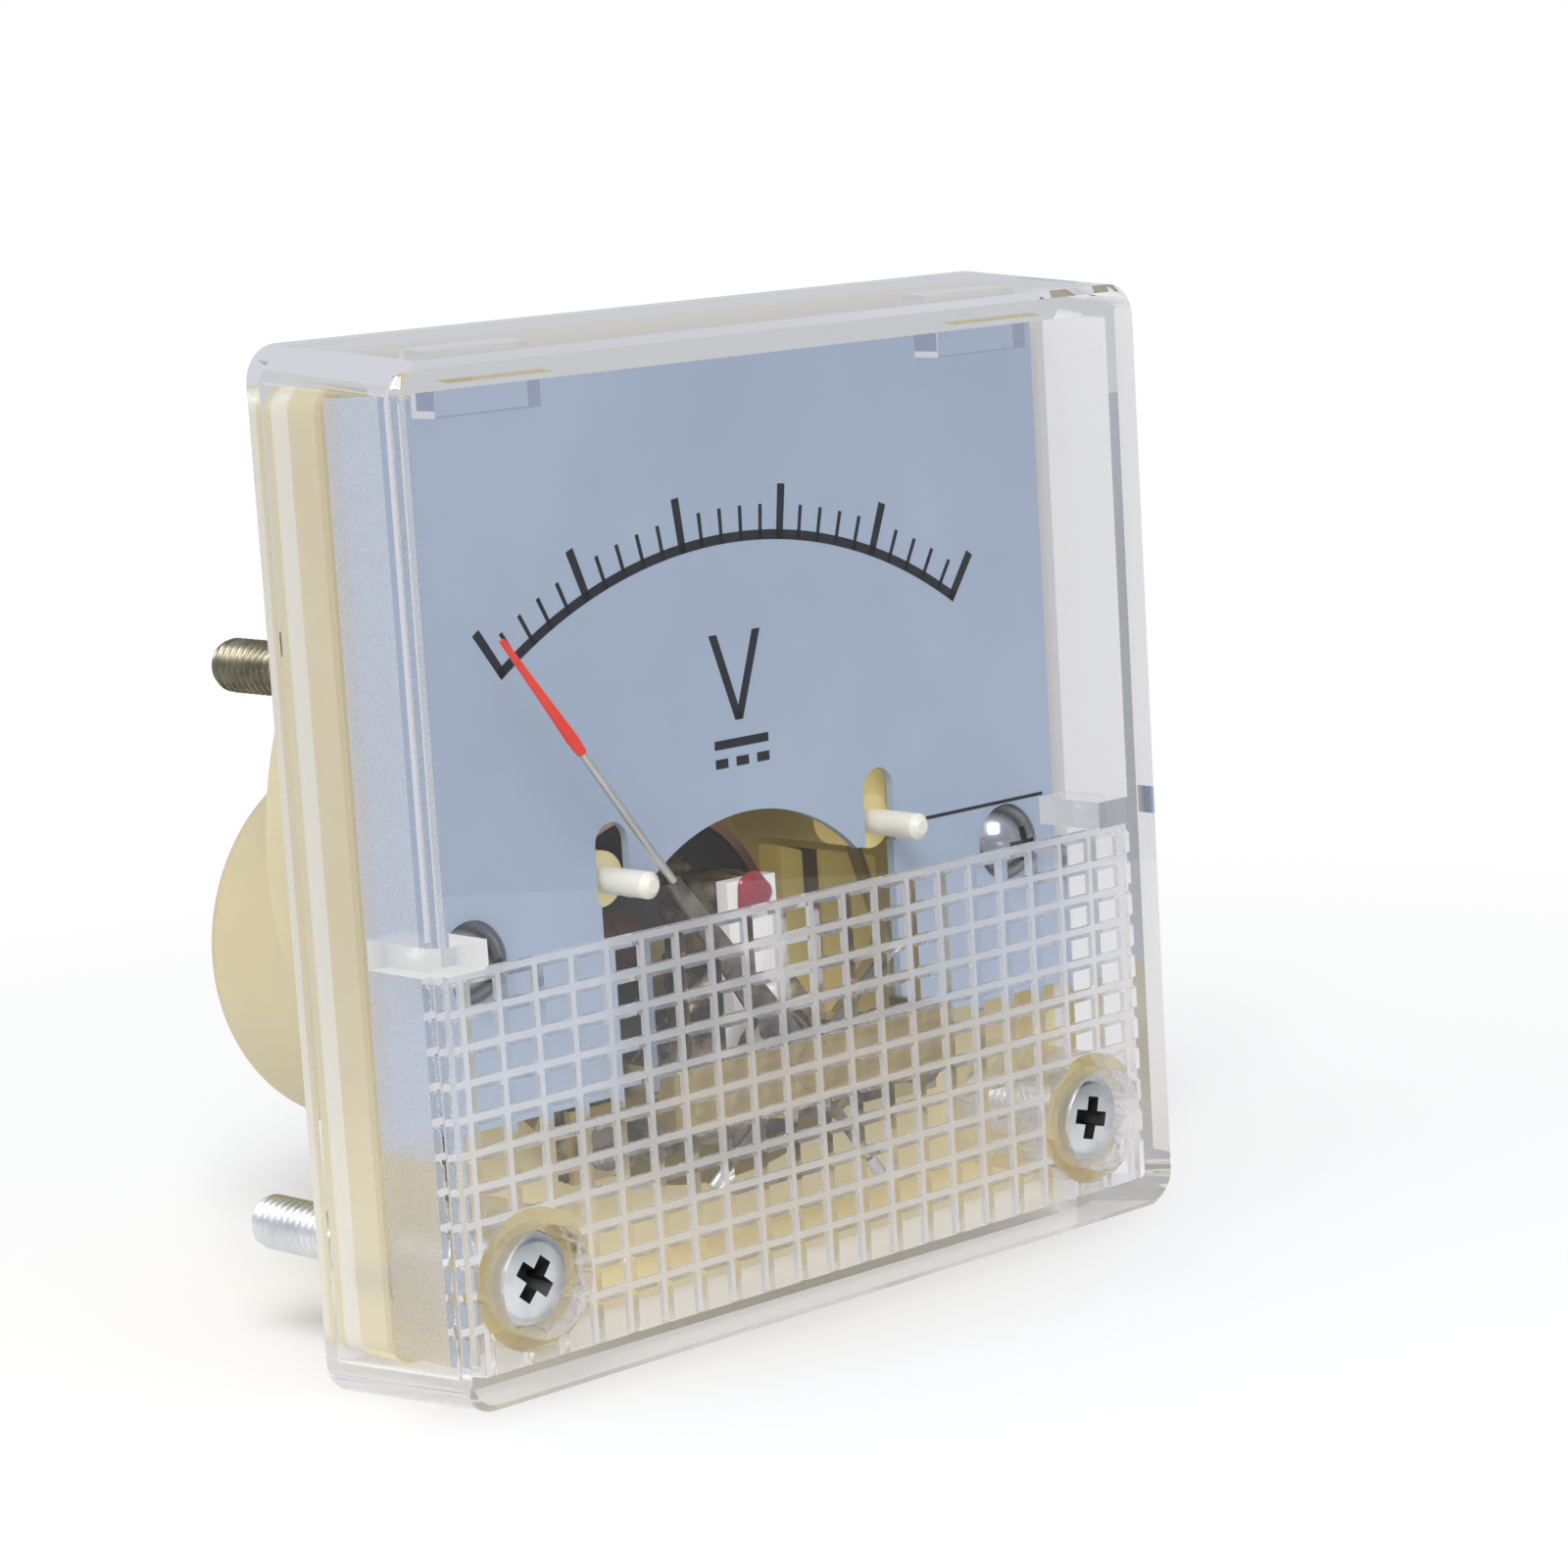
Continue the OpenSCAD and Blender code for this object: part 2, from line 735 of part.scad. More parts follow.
// Screws that hold the bridge and the frame on the base.
module frame_screws() {
    y_top = y_frame - leg_t;
    head_h = 0.8;
    color("silver")
    from_face_middle()
    both_sides()
        difference() {
            union() {
                rod(foot_screw_x, foot_screw_z, y_top - head_h, y_top, frame_screw_head / 2);
                rod(foot_screw_x, foot_screw_z, y_top - eps, y_frame + frame_t + 2.6,
                    frame_screw_d / 2 - 0.05);
            }
            translate([foot_screw_x, y_top - head_h, foot_screw_z])
                cube([3, 0.7, 0.35], center = true);
        }
}

// Turns local +Z outwards, away from the staff, at its front or rear end.
module at_bearing(end) {
    translate([0, end < 0 ? y_jewel : y_jewel_rear, pivot_z])
        rotate([-90 * end, 0, 0])
            children();
}

// Slotted jewel screws at both ends of the staff.
module jewel_screws() {
    color([0.86, 0.72, 0.36])
    from_face_middle()
    for (end = [-1, 1]) {
        depth = end < 0 ? y_jewel - y_bridge : y_sleeve_end - y_jewel_rear + 0.3;
        at_bearing(end)
            difference() {
                cylinder(h = depth, r = jewel_screw_r - 0.02);
                translate([0, 0, -eps])
                    cylinder(h = jewel_t + eps, r = jewel_r);
                translate([0, 0, depth])
                    cube([3, 0.3, 0.12], center = true);
            }
    }
}

// Ruby cups that the pivots run in.
module jewels() {
    color([0.75, 0.1, 0.2])
    from_face_middle()
    for (end = [-1, 1])
        at_bearing(end)
            difference() {
                cylinder(h = jewel_t, r = jewel_r);
                translate([0, 0, -eps])
                    cylinder(h = jewel_t - 0.08, r1 = jewel_r * 0.6, r2 = 0.02);
            }
}

// White zero lever in front of the frame, with the post of the front hairspring.
module zero_lever() {
    ring_r = 2.6;
    color([0.95, 0.94, 0.92])
    from_face_middle()
    difference() {
        union() {
            slab(y_frame - lever_t, y_frame) {
                translate([-frame_w / 2 - 0.1, pivot_z])
                    square([frame_w + 0.2, frame_top - pivot_z + 0.05]);
                translate([0, pivot_z])
                    circle(r = ring_r);
            }
            rod(0, pivot_z + spring_r + post_r, y_spring, y_frame - lever_t + eps, post_r);
        }
        rod(0, pivot_z, y_frame - 2, y_frame + 1, staff_r + 0.8);
    }
}

// Drop of red sealing lacquer on the zero lever.
module zero_seal() {
    seal_r = 1;
    seal_h = 0.4;
    ball = (seal_r * seal_r + seal_h * seal_h) / (2 * seal_h);
    y0 = y_frame - lever_t;
    color([0.6, 0.05, 0.12])
    from_face_middle()
    intersection() {
        translate([0, y0 - seal_h + ball, frame_top - 0.7])
            sphere(r = ball, $fn = 48);
        rod(0, frame_top - 0.7, y0 - 2, y0, ball);
    }
}

// A flat spiral strip round the staff.
module spiral(y0) {
    steps = 20 * spring_turns;
    function radius(i) = spring_in + (spring_r - spring_in) * i / steps;
    function angle(i) = 90 - 360 * spring_turns * (1 - i / steps);
    inner = [for (i = [0 : steps])
        (radius(i) - spring_t / 2) * [cos(angle(i)), sin(angle(i))]];
    outer = [for (i = [steps : -1 : 0])
        (radius(i) + spring_t / 2) * [cos(angle(i)), sin(angle(i))]];
    translate([0, 0, pivot_z])
        slab(y0, y0 + spring_h)
            polygon(concat(inner, outer));
}

// Front hairspring.
module front_hairspring() {
    color([0.75, 0.6, 0.35])
    from_face_middle()
    spiral(y_spring);
}

// Rear hairspring.
module rear_hairspring() {
    color([0.75, 0.6, 0.35])
    from_face_middle()
    spiral(y_spring_rear);
}

// ---------------------------------------------------------------- circuit

// Series resistor in the barrel, left of the frame.
module series_resistor() {
    r = 1.35;
    waist = 0.15;
    y0 = y_sleeve - 0.3 - r;
    z0 = pivot_z + resistor_rise;
    x0 = -9.2;
    len_r = 6.2;
    color([0.42, 0.16, 0.1])
    from_face_middle()
    union() {
        translate([x0, y0, z0])
            rotate([0, 90, 0])
                cylinder(h = len_r, r = r - waist);
        for (x = [x0, x0 + len_r - 1.4])
            translate([x, y0, z0])
                rotate([0, 90, 0])
                    cylinder(h = 1.4, r = r);
    }
}

// Insulated leads from the terminals to the resistor and to the frame.
module lead_wires() {
    r = 0.35;
    y_head = y_floor - terminal_head_h - r;
    y_res = y_sleeve - 1.65;
    z_res = pivot_z + resistor_rise;
    left = [[-terminal_x, y_head, terminal_z], [-terminal_x + 0.6, y_head, 0],
        [-11.4, y_res, z_res + 1.5], [-9.2 - r, y_res, z_res]];
    right = [[terminal_x, y_head, terminal_z], [terminal_x, y_head, -1],
        [foot_screw_x + 1.4, y_frame + frame_t + 1.4, foot_screw_z + 5],
        [foot_screw_x, y_frame + frame_t + r, foot_screw_z + 2.6]];
    color([0.1, 0.42, 0.4])
    from_face_middle()
    for (path = [left, right]) {
        for (i = [0 : len(path) - 2])
            wire(path[i], path[i + 1], r);
        translate(path[len(path) - 1])
            sphere(r = r * 1.08, $fn = 24);
    }
}

// ---------------------------------------------------------------- moving parts

// Red lance at the pointer's end.
module pointer_tip() {
    base = pointer_r - tip_len;
    t = 0.24;
    color([0.93, 0.16, 0.1])
    from_face_middle()
    at_rest()
        slab(y_ptr - t / 2, y_ptr + t / 2)
            polygon([[-tube_d / 2, base], [tube_d / 2, base], [tip_w / 2, base + 0.8],
                [tip_w / 3, base + tip_len / 2], [0.09, pointer_r], [-0.09, pointer_r],
                [-tip_w / 3, base + tip_len / 2], [-tip_w / 2, base + 0.8]]);
}

// Thin drawn tube of the pointer.
module pointer_tube() {
    color([0.86, 0.84, 0.82])
    from_face_middle()
    at_rest()
        translate([0, y_ptr, foot_r])
            cylinder(h = pointer_r - tip_len - foot_r, r = tube_d / 2, $fn = 24);
}

// Stamped foot of the pointer with its three balance arms.
module pointer_foot() {
    arm = 0.25;
    color([0.4, 0.39, 0.34])
    from_face_middle()
    at_rest()
        slab(y_ptr - foot_t / 2, y_ptr + foot_t / 2)
            difference() {
                union() {
                    circle(r = 1.5);
                    polygon([[-1, 0], [1, 0], [tube_d / 2 + 0.15, foot_r],
                        [-tube_d / 2 - 0.15, foot_r]]);
                    translate([-balance_r, -arm])
                        square([2 * balance_r, 2 * arm]);
                    translate([-arm, -balance_r])
                        square([2 * arm, balance_r]);
                }
                circle(r = staff_r + 0.01);
            }
}

// Small weights on the ends of the balance arms.
module balance_weights() {
    color([0.7, 0.7, 0.68])
    from_face_middle()
    at_rest()
        for (a = [90, 180, 270])
            translate([0, y_ptr, 0])
                rotate([0, a, 0])
                    translate([0, 0, balance_r])
                        cylinder(h = weight_len, r = weight_r, $fn = 24);
}

// Front and rear staffs with their pivots, collets and hubs.
module staffs() {
    nib = 0.1;
    color([0.75, 0.76, 0.78])
    from_face_middle()
    at_rest() {
        rod(0, 0, y_jewel + pivot_len, y_coil - hub_t, staff_r);
        rod(0, 0, y_jewel - nib, y_jewel + pivot_len, 0.03, staff_r);
        rod(0, 0, y_spring, y_spring + spring_h, collet_r);
        rod(0, 0, y_coil - hub_t, y_coil, hub_r);
        rod(0, 0, y_coil_end, y_coil_end + hub_t, hub_r);
        rod(0, 0, y_coil_end + hub_t - eps, y_jewel_rear - pivot_len, staff_r);
        rod(0, 0, y_spring_rear, y_spring_rear + spring_h, collet_r);
        rod(0, 0, y_jewel_rear - pivot_len, y_jewel_rear + nib, staff_r, 0.03);
    }
}

// A closed rectangular loop round the core, seen from the side.
module loop(half_in, y_in, y_in_end, t, w) {
    translate([0, 0, -w / 2])
        linear_extrude(height = w)
            difference() {
                translate([-half_in - t, y_in - t])
                    square([2 * (half_in + t), y_in_end - y_in + 2 * t]);
                translate([-half_in, y_in])
                    square([2 * half_in, y_in_end - y_in]);
            }
}

// Aluminium former that the coil is wound on.
module coil_former() {
    color([0.8, 0.81, 0.82])
    from_face_middle()
    at_rest()
        loop(former_in, y_coil_in, y_coil_in_end, former_t, winding_w);
}

// Copper winding on its former.
module moving_coil() {
    color([0.62, 0.3, 0.14])
    from_face_middle()
    at_rest()
        loop(former_out, y_coil_in - former_t, y_coil_in_end + former_t, winding_t, winding_w);
}

front_cover();
base_housing();
dial_plate();
dial_screws();
mounting_screws();
terminal_studs();
terminal_washers();
terminal_nuts();
stop_pegs();
yoke_sleeve();
yoke_block();
core_magnet();
core_straps();
rear_plate();
movement_frame();
front_bridge();
frame_screws();
jewel_screws();
jewels();
zero_lever();
zero_seal();
front_hairspring();
rear_hairspring();
series_resistor();
lead_wires();
pointer_tip();
pointer_tube();
pointer_foot();
balance_weights();
staffs();
coil_former();
moving_coil();
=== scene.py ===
import math

import bmesh
import bpy
from mathutils import Matrix, Vector, noise


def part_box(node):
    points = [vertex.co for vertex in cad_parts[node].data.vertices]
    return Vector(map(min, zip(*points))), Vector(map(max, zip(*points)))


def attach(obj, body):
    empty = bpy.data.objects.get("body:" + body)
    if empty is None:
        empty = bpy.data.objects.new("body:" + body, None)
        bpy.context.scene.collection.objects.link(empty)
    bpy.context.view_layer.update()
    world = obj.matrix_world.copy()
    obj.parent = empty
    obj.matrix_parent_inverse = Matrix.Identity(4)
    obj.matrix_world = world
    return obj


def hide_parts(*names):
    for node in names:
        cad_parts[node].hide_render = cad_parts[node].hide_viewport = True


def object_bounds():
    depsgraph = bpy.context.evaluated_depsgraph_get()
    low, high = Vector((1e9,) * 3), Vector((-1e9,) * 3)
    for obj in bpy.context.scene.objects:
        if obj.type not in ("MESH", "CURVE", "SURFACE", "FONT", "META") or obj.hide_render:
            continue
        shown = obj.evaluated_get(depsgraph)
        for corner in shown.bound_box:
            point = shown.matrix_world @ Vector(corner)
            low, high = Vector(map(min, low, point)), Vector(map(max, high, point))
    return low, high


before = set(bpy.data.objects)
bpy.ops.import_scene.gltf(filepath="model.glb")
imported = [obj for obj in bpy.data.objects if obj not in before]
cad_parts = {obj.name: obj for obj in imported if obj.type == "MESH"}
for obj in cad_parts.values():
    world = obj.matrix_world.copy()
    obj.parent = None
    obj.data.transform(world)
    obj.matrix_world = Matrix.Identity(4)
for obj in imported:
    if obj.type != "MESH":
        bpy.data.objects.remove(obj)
cad_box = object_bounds()
MM = 0.001


# ------------------------------------------------------------------ helpers

def spot(node):
    """Lowest corner, highest corner and middle of a CAD node, in millimetres."""
    lo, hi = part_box(node)
    lo = Vector(lo) / MM
    hi = Vector(hi) / MM
    return lo, hi, (lo + hi) / 2


def placed(name, data):
    """An object for a mesh, light or camera, in the scene."""
    ob = bpy.data.objects.new(name, data)
    bpy.context.scene.collection.objects.link(ob)
    return ob


def new_mesh(name, verts, faces):
    """A mesh object from points in millimetres."""
    me = bpy.data.meshes.new(name)
    me.from_pydata([Vector(v) * MM for v in verts], [], faces)
    bm = bmesh.new()
    bm.from_mesh(me)
    bmesh.ops.recalc_face_normals(bm, faces=bm.faces)
    bm.to_mesh(me)
    bm.free()
    return placed(name, me)


def merged(parts):
    """One list of points and one of faces from several such pairs."""
    verts = []
    faces = []
    for v, f in parts:
        k = len(verts)
        verts += v
        faces += [tuple(i + k for i in q) for q in f]
    return verts, faces


def copy_of(node, name):
    """A new piece with the CAD node's own shape, welded."""
    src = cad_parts[node]
    me = src.data.copy()
    me.name = name
    bm = bmesh.new()
    bm.from_mesh(me)
    bmesh.ops.remove_doubles(bm, verts=bm.verts, dist=1e-7)
    bm.to_mesh(me)
    bm.free()
    me.materials.clear()
    return placed(name, me)


def apply_modifiers(ob):
    """Bakes the modifiers into the mesh."""
    dg = bpy.context.evaluated_depsgraph_get()
    me = bpy.data.meshes.new_from_object(ob.evaluated_get(dg))
    ob.modifiers.clear()
    old = ob.data
    ob.data = me
    bpy.data.meshes.remove(old)


def smooth_by_angle(ob, degrees=30):
    """Smooth shading that stops at sharp edges."""
    for p in ob.data.polygons:
        p.use_smooth = True
    ob.data.set_sharp_from_angle(angle=math.radians(degrees))


def add_bevel(ob, width, degrees):
    """Breaks the edges sharper than an angle."""
    m = ob.modifiers.new("edge", "BEVEL")
    m.width = width * MM
    m.segments = 2
    m.limit_method = "ANGLE"
    m.angle_limit = math.radians(degrees)
    m.use_clamp_overlap = True


def bevelled(ob, width):
    """Breaks the edges of a piece and shades it."""
    add_bevel(ob, width, 35)
    apply_modifiers(ob)
    smooth_by_angle(ob)


# ---------------------------------------------------------- sizes and places

cover_lo, cover_hi, cover_mid = spot("front_cover")
base_lo, base_hi, _ = spot("base_housing")
dial_lo = spot("dial_plate")[0]
screw_lo, screw_hi, _ = spot("mounting_screws")
stud_lo, stud_hi, _ = spot("terminal_studs")
seal_hi = spot("zero_seal")[1]
FAR = 30.0                          # past the part in any direction
WALL = 1.4                          # the cover's window and walls
CUP_R = 2.8                         # middle of the wall of the cups round the screw heads
HOLLOW_R = 16.56                    # the barrel inside
POST_X = 8.3                        # posts behind the stop pegs, from the middle
HEAD_H = 1.45                       # heads of the long screws
THREAD_R = 1.25                     # long screws and terminal studs
PITCH = 0.45
face_z = cover_mid.z
window_back = cover_lo.y + WALL
head_r = (screw_hi.z - screw_lo.z) / 2
screw_z = (screw_hi.z + screw_lo.z) / 2
screw_x = screw_hi.x - head_r


# ---------------------------------------------------------------- materials

class Mat:
    """A node-based material with one Principled shader."""

    def __init__(self, name, color, rough=0.5, metal=0.0, **sockets):
        self.m = bpy.data.materials.new(name)
        self.m.use_nodes = True
        self.nt = self.m.node_tree
        self.b = self.nt.nodes["Principled BSDF"]
        self.b.inputs["Base Color"].default_value = (*color, 1)
        self.b.inputs["Roughness"].default_value = rough
        self.b.inputs["Metallic"].default_value = metal
        for k, v in sockets.items():
            self.b.inputs[k.replace("_", " ")].default_value = v
        self.co = self.node("ShaderNodeTexCoord")

    def node(self, kind, **values):
        """A new node with the given settings."""
        n = self.nt.nodes.new(kind)
        for k, v in values.items():
            setattr(n, k, v)
        return n

    def link(self, a, b):
        """Feeds the socket b from the socket a."""
        self.nt.links.new(a, b)

    def math(self, operation, *values):
        """Result of a sum on numbers and sockets."""
        n = self.node("ShaderNodeMath", operation=operation)
        for i, v in enumerate(values):
            if isinstance(v, (int, float)):
                n.inputs[i].default_value = v
            else:
                self.link(v, n.inputs[i])
        return n.outputs[0]

    def mix(self, fac, a, b):
        """Shader a where the factor is 0, shader b where it is 1."""
        n = self.node("ShaderNodeMixShader")
        if isinstance(fac, (int, float)):
            n.inputs[0].default_value = fac
        else:
            self.link(fac, n.inputs[0])
        self.link(a, n.inputs[1])
        self.link(b, n.inputs[2])
        return n.outputs[0]

    def axis(self, name):
        """One coordinate of the place on the object, in metres."""
        sep = self.node("ShaderNodeSeparateXYZ")
        self.link(self.co.outputs["Object"], sep.inputs[0])
        return sep.outputs[name]

    def within(self, *limits):
        """1 inside the given limits of the place on the object, in millimetres, else 0."""
        mask = None
        for name, low, high in limits:
            v = self.axis(name)
            for side in (self.math("GREATER_THAN", v, low * MM),
                         self.math("LESS_THAN", v, high * MM)):
                mask = side if mask is None else self.math("MULTIPLY", mask, side)
        return mask

    def inside_radius(self, r):
        """1 within a radius of the barrel's axis, else 0."""
        squares = [self.math("POWER", self.axis(name), 2.0) for name in "XZ"]
        distance = self.math("SQRT", self.math("ADD", *squares))
        return self.math("LESS_THAN", distance, r * MM)

    def blend_color(self, mask, socket, color):
        """Puts a color over what feeds a color socket, where the mask is 1."""
        mx = self.node("ShaderNodeMix", data_type="RGBA")
        self.link(mask, mx.inputs[0])
        before = socket.links[0].from_socket if socket.links else None
        if before:
            self.link(before, mx.inputs[6])
        else:
            mx.inputs[6].default_value = socket.default_value
        mx.inputs[7].default_value = (*color, 1)
        self.link(mx.outputs[2], socket)

    def translucent(self, color, amount):
        """Light comes through the material from the far side."""
        t = self.node("ShaderNodeBsdfTranslucent")
        t.inputs["Color"].default_value = (*color, 1)
        out = self.nt.nodes["Material Output"]
        self.link(self.mix(amount, self.b.outputs[0], t.outputs[0]), out.inputs["Surface"])
        return self

    def facing(self, stops):
        """Base color that runs with the angle of view: painted reflection rings for plated
        domes.
        """
        w = self.node("ShaderNodeLayerWeight")
        w.inputs["Blend"].default_value = 0.5
        self.link(self.ramp(w.outputs["Facing"], stops), self.b.inputs["Base Color"])
        return self

    def noise(self, scale, detail=4.0, stretch=(1, 1, 1)):
        """A noise pattern; the scale is in waves per metre."""
        mp = self.node("ShaderNodeMapping")
        mp.inputs["Scale"].default_value = stretch
        self.link(self.co.outputs["Object"], mp.inputs["Vector"])
        t = self.node("ShaderNodeTexNoise")
        t.inputs["Scale"].default_value = scale
        t.inputs["Detail"].default_value = detail
        t.inputs["Roughness"].default_value = 0.6
        self.link(mp.outputs["Vector"], t.inputs["Vector"])
        return t.outputs["Fac"]

    def wave(self, scale, direction):
        """Bands across one direction."""
        t = self.node("ShaderNodeTexWave", wave_type="BANDS", bands_direction=direction)
        t.inputs["Scale"].default_value = scale
        self.link(self.co.outputs["Object"], t.inputs["Vector"])
        return t.outputs["Fac"]

    def ramp(self, fac, stops):
        """Colors at the given places of a factor."""
        r = self.node("ShaderNodeValToRGB")
        e = r.color_ramp.elements
        while len(e) < len(stops):
            e.new(0.5)
        for i, (pos, col) in enumerate(stops):
            e[i].position = pos
            e[i].color = (*col, 1)
        self.link(fac, r.inputs["Fac"])
        return r.outputs["Color"]

    def tint(self, fac, a, b, lo=0.3, hi=0.7):
        """Base color that runs from a to b with a pattern."""
        self.link(self.ramp(fac, [(lo, a), (hi, b)]), self.b.inputs["Base Color"])
        return self

    def rough(self, fac, a, b):
        """Roughness that runs from a to b with a pattern."""
        r = self.node("ShaderNodeMapRange")
        r.inputs["To Min"].default_value = a
        r.inputs["To Max"].default_value = b
        self.link(fac, r.inputs["Value"])
        self.link(r.outputs["Result"], self.b.inputs["Roughness"])
        return self

    def bump(self, fac, strength, distance):
        """Small relief from a pattern, its depth in millimetres."""
        n = self.node("ShaderNodeBump")
        n.inputs["Strength"].default_value = strength
        n.inputs["Distance"].default_value = distance * MM
        self.link(fac, n.inputs["Height"])
        self.link(n.outputs["Normal"], self.b.inputs["Normal"])
        return self


POLISH = 0.012                      # roughness of the polished faces
DEPTH = 5.5                         # reflections inside the plastic before it just glows


def shader(m, kind, color):
    """One more shader of a flat color for a material."""
    n = m.node("ShaderNode" + kind)
    n.inputs["Color"].default_value = (*color, 1)
    return n


def clear_plastic(name, rough, tint, whiten=0.0, zone=None, haze=(0.9, 0.9, 0.9), patches=(),
                  grain=0.0, painted_glow=0.0, see_through=0.0):
    """Clear moulding: refracts what the camera sees and lets other light straight through.

    whiten mixes in a matt haze, with grain as its unevenness. zone limits that and the roughness
    to a part of the object, patches gives parts of it another color, and the glow amount adds a
    painted glow, an emission that lightens it.
    see_through is the share of the surface that doesn't bend the light."""
    m = Mat(name, tint, rough, IOR=1.54)
    m.b.inputs["Transmission Weight"].default_value = 1.0
    m.b.inputs["Specular IOR Level"].default_value = 0.36
    spread = m.math("MULTIPLY_ADD", m.noise(6500, 2), 2 * grain, 1 - grain)
    amount = m.math("MULTIPLY", spread, whiten)
    if zone:
        mask = m.within(*zone)
        amount = m.math("MULTIPLY", amount, mask)
        m.link(m.math("MULTIPLY_ADD", mask, rough, POLISH), m.b.inputs["Roughness"])
    far_side = shader(m, "BsdfTranslucent", haze)
    near_side = shader(m, "BsdfDiffuse", haze)
    for limits, color in patches:
        for n in (far_side, near_side):
            m.blend_color(m.within(limits), n.inputs["Color"], color)
    matt = m.mix(0.5, far_side.outputs[0], near_side.outputs[0])
    # painted glow: emission mixed into the matt haze to lighten it
    if painted_glow:
        matt = m.mix(painted_glow, matt, shader(m, "Emission", (1.0, 0.985, 0.96)).outputs[0])
    body = m.mix(amount, m.b.outputs["BSDF"], matt)
    if see_through:
        straight = shader(m, "BsdfTransparent", (0.84, 0.82, 0.79))
        body = m.mix(see_through, body, straight.outputs[0])
    path = m.node("ShaderNodeLightPath")
    other = m.math("MAXIMUM", path.outputs["Is Shadow Ray"], path.outputs["Is Diffuse Ray"])
    passing = shader(m, "BsdfTransparent", (0.97, 0.97, 0.975))
    body = m.mix(other, body, passing.outputs[0])
    deep = m.math("GREATER_THAN", path.outputs["Ray Depth"], DEPTH)
    glow = shader(m, "Emission", (0.66, 0.655, 0.72))
    body = m.mix(deep, body, glow.outputs[0])
    m.link(body, m.nt.nodes["Material Output"].inputs["Surface"])
    return m


# the right wall's rim is matt, so that it doesn't mirror the barrel, and its haze is a painted
# reflection: blue-grey, tan beside the tray below the dial and grey lower down, with a faint
# painted glow; the side walls are frosted inside, from the window to the dial
right_rim = (("Y", cover_hi.y - 0.05, cover_hi.y + 0.1), ("X", cover_hi.x - 2, FAR),
             ("Z", -FAR, cover_hi.z - 6.1))
tray_low = cover_lo.z + 4.4
window_y = window_back - 0.25
wall_z = ("Z", cover_lo.z + 2.5, cover_hi.z - 2.1)
clear = clear_plastic("clear_styrene", 0.3, (0.985, 0.985, 1.0), whiten=0.9, zone=right_rim,
                      haze=(0.62, 0.69, 0.79), painted_glow=0.08,
                      patches=((("Z", tray_low, dial_lo.z), (0.7, 0.64, 0.5)),
                               (("Z", -FAR, tray_low), (0.7, 0.7, 0.7))))
clear.bump(clear.noise(160, 2), 0.012, 0.05)
# left inner wall: the frost is painted blue-grey for the dial seen through it, warmer below the
# dial where the cream tray shows through, and darker along the window for the shade at the
# dial's left edge; the right wall has the same frost, painted lit
frosted = clear_plastic("frosted_styrene", 0.25, (0.97, 0.97, 0.99), whiten=0.7,
                        zone=(("Y", window_y, dial_lo.y + 0.05), wall_z),
                        haze=(0.6, 0.63, 0.7), grain=0.7,
                        patches=((("Z", -FAR, dial_lo.z), (0.64, 0.59, 0.47)),
                                 (("Y", window_y, window_back + 0.4), (0.36, 0.43, 0.55))))
# right inner wall: the same frost as the left, painted pale and given a painted glow for the
# light on it
frost_painted_light = clear_plastic("frosted_styrene_painted_light", 0.25, (0.97, 0.97, 0.99), whiten=0.95,
                           zone=(("Y", window_y, dial_lo.y + 0.1), wall_z),
                           haze=(0.93, 0.92, 0.91), painted_glow=0.3)
ribbed = clear_plastic("rib_flanks", 0.12, (0.98, 0.98, 1.0), whiten=0.06, see_through=0.45)
crest = clear_plastic("rib_crests", 0.3, (0.98, 0.98, 1.0), whiten=0.7,
                      haze=(0.92, 0.92, 0.93))
# underside: a cream haze with a painted glow, standing in for the lit cream base seen through
# the bottom wall
underside_glow = clear_plastic("underside_painted_glow", 0.15, (0.98, 0.98, 1.0), whiten=0.5,
                      haze=(0.84, 0.79, 0.68), painted_glow=0.42)
lug_frost = clear_plastic("lug_styrene", 0.3, (0.98, 0.98, 1.0), whiten=0.85,
                          haze=(0.9, 0.89, 0.84))

cream = Mat("cream_abs", (0.7, 0.63, 0.42), 0.3, IOR=1.5)
cream.tint(cream.noise(90, 3), (0.67, 0.6, 0.39), (0.73, 0.66, 0.45))
cream.bump(cream.noise(900, 3), 0.08, 0.03)
cream.b.inputs["Subsurface Weight"].default_value = 0.35
cream.b.inputs["Subsurface Radius"].default_value = (1.0, 0.8, 0.45)
cream.b.inputs["Subsurface Scale"].default_value = 0.0016
base_color = cream.b.inputs["Base Color"]
rim_y = base_lo.y
# the barrel's inside is painted a darker olive for its shade, with a faint painted glow
hollow_shade_and_glow = cream.math("MULTIPLY", cream.within(("Y", -1.7, 5.8)), cream.inside_radius(HOLLOW_R))
tray_side = ("X", -FAR, -15)
# the posts behind the stop pegs are painted lighter, with a painted glow, for light coming
# through the plastic
posts = [cream.within(("Y", -3.6, -1.0), ("X", x - 1.5, x + 1.5), ("Z", -4, 2.2))
         for x in (-POST_X, POST_X)]
# the tray below the dial is painted lighter, with a painted glow, for light that doesn't reach
# it
tray_painted_light = cream.within(("Y", rim_y + 0.05, -1.4), ("X", base_lo.x + 0.1, base_hi.x - 0.1),
                        ("Z", base_lo.z - 0.5, dial_lo.z + 0.2))
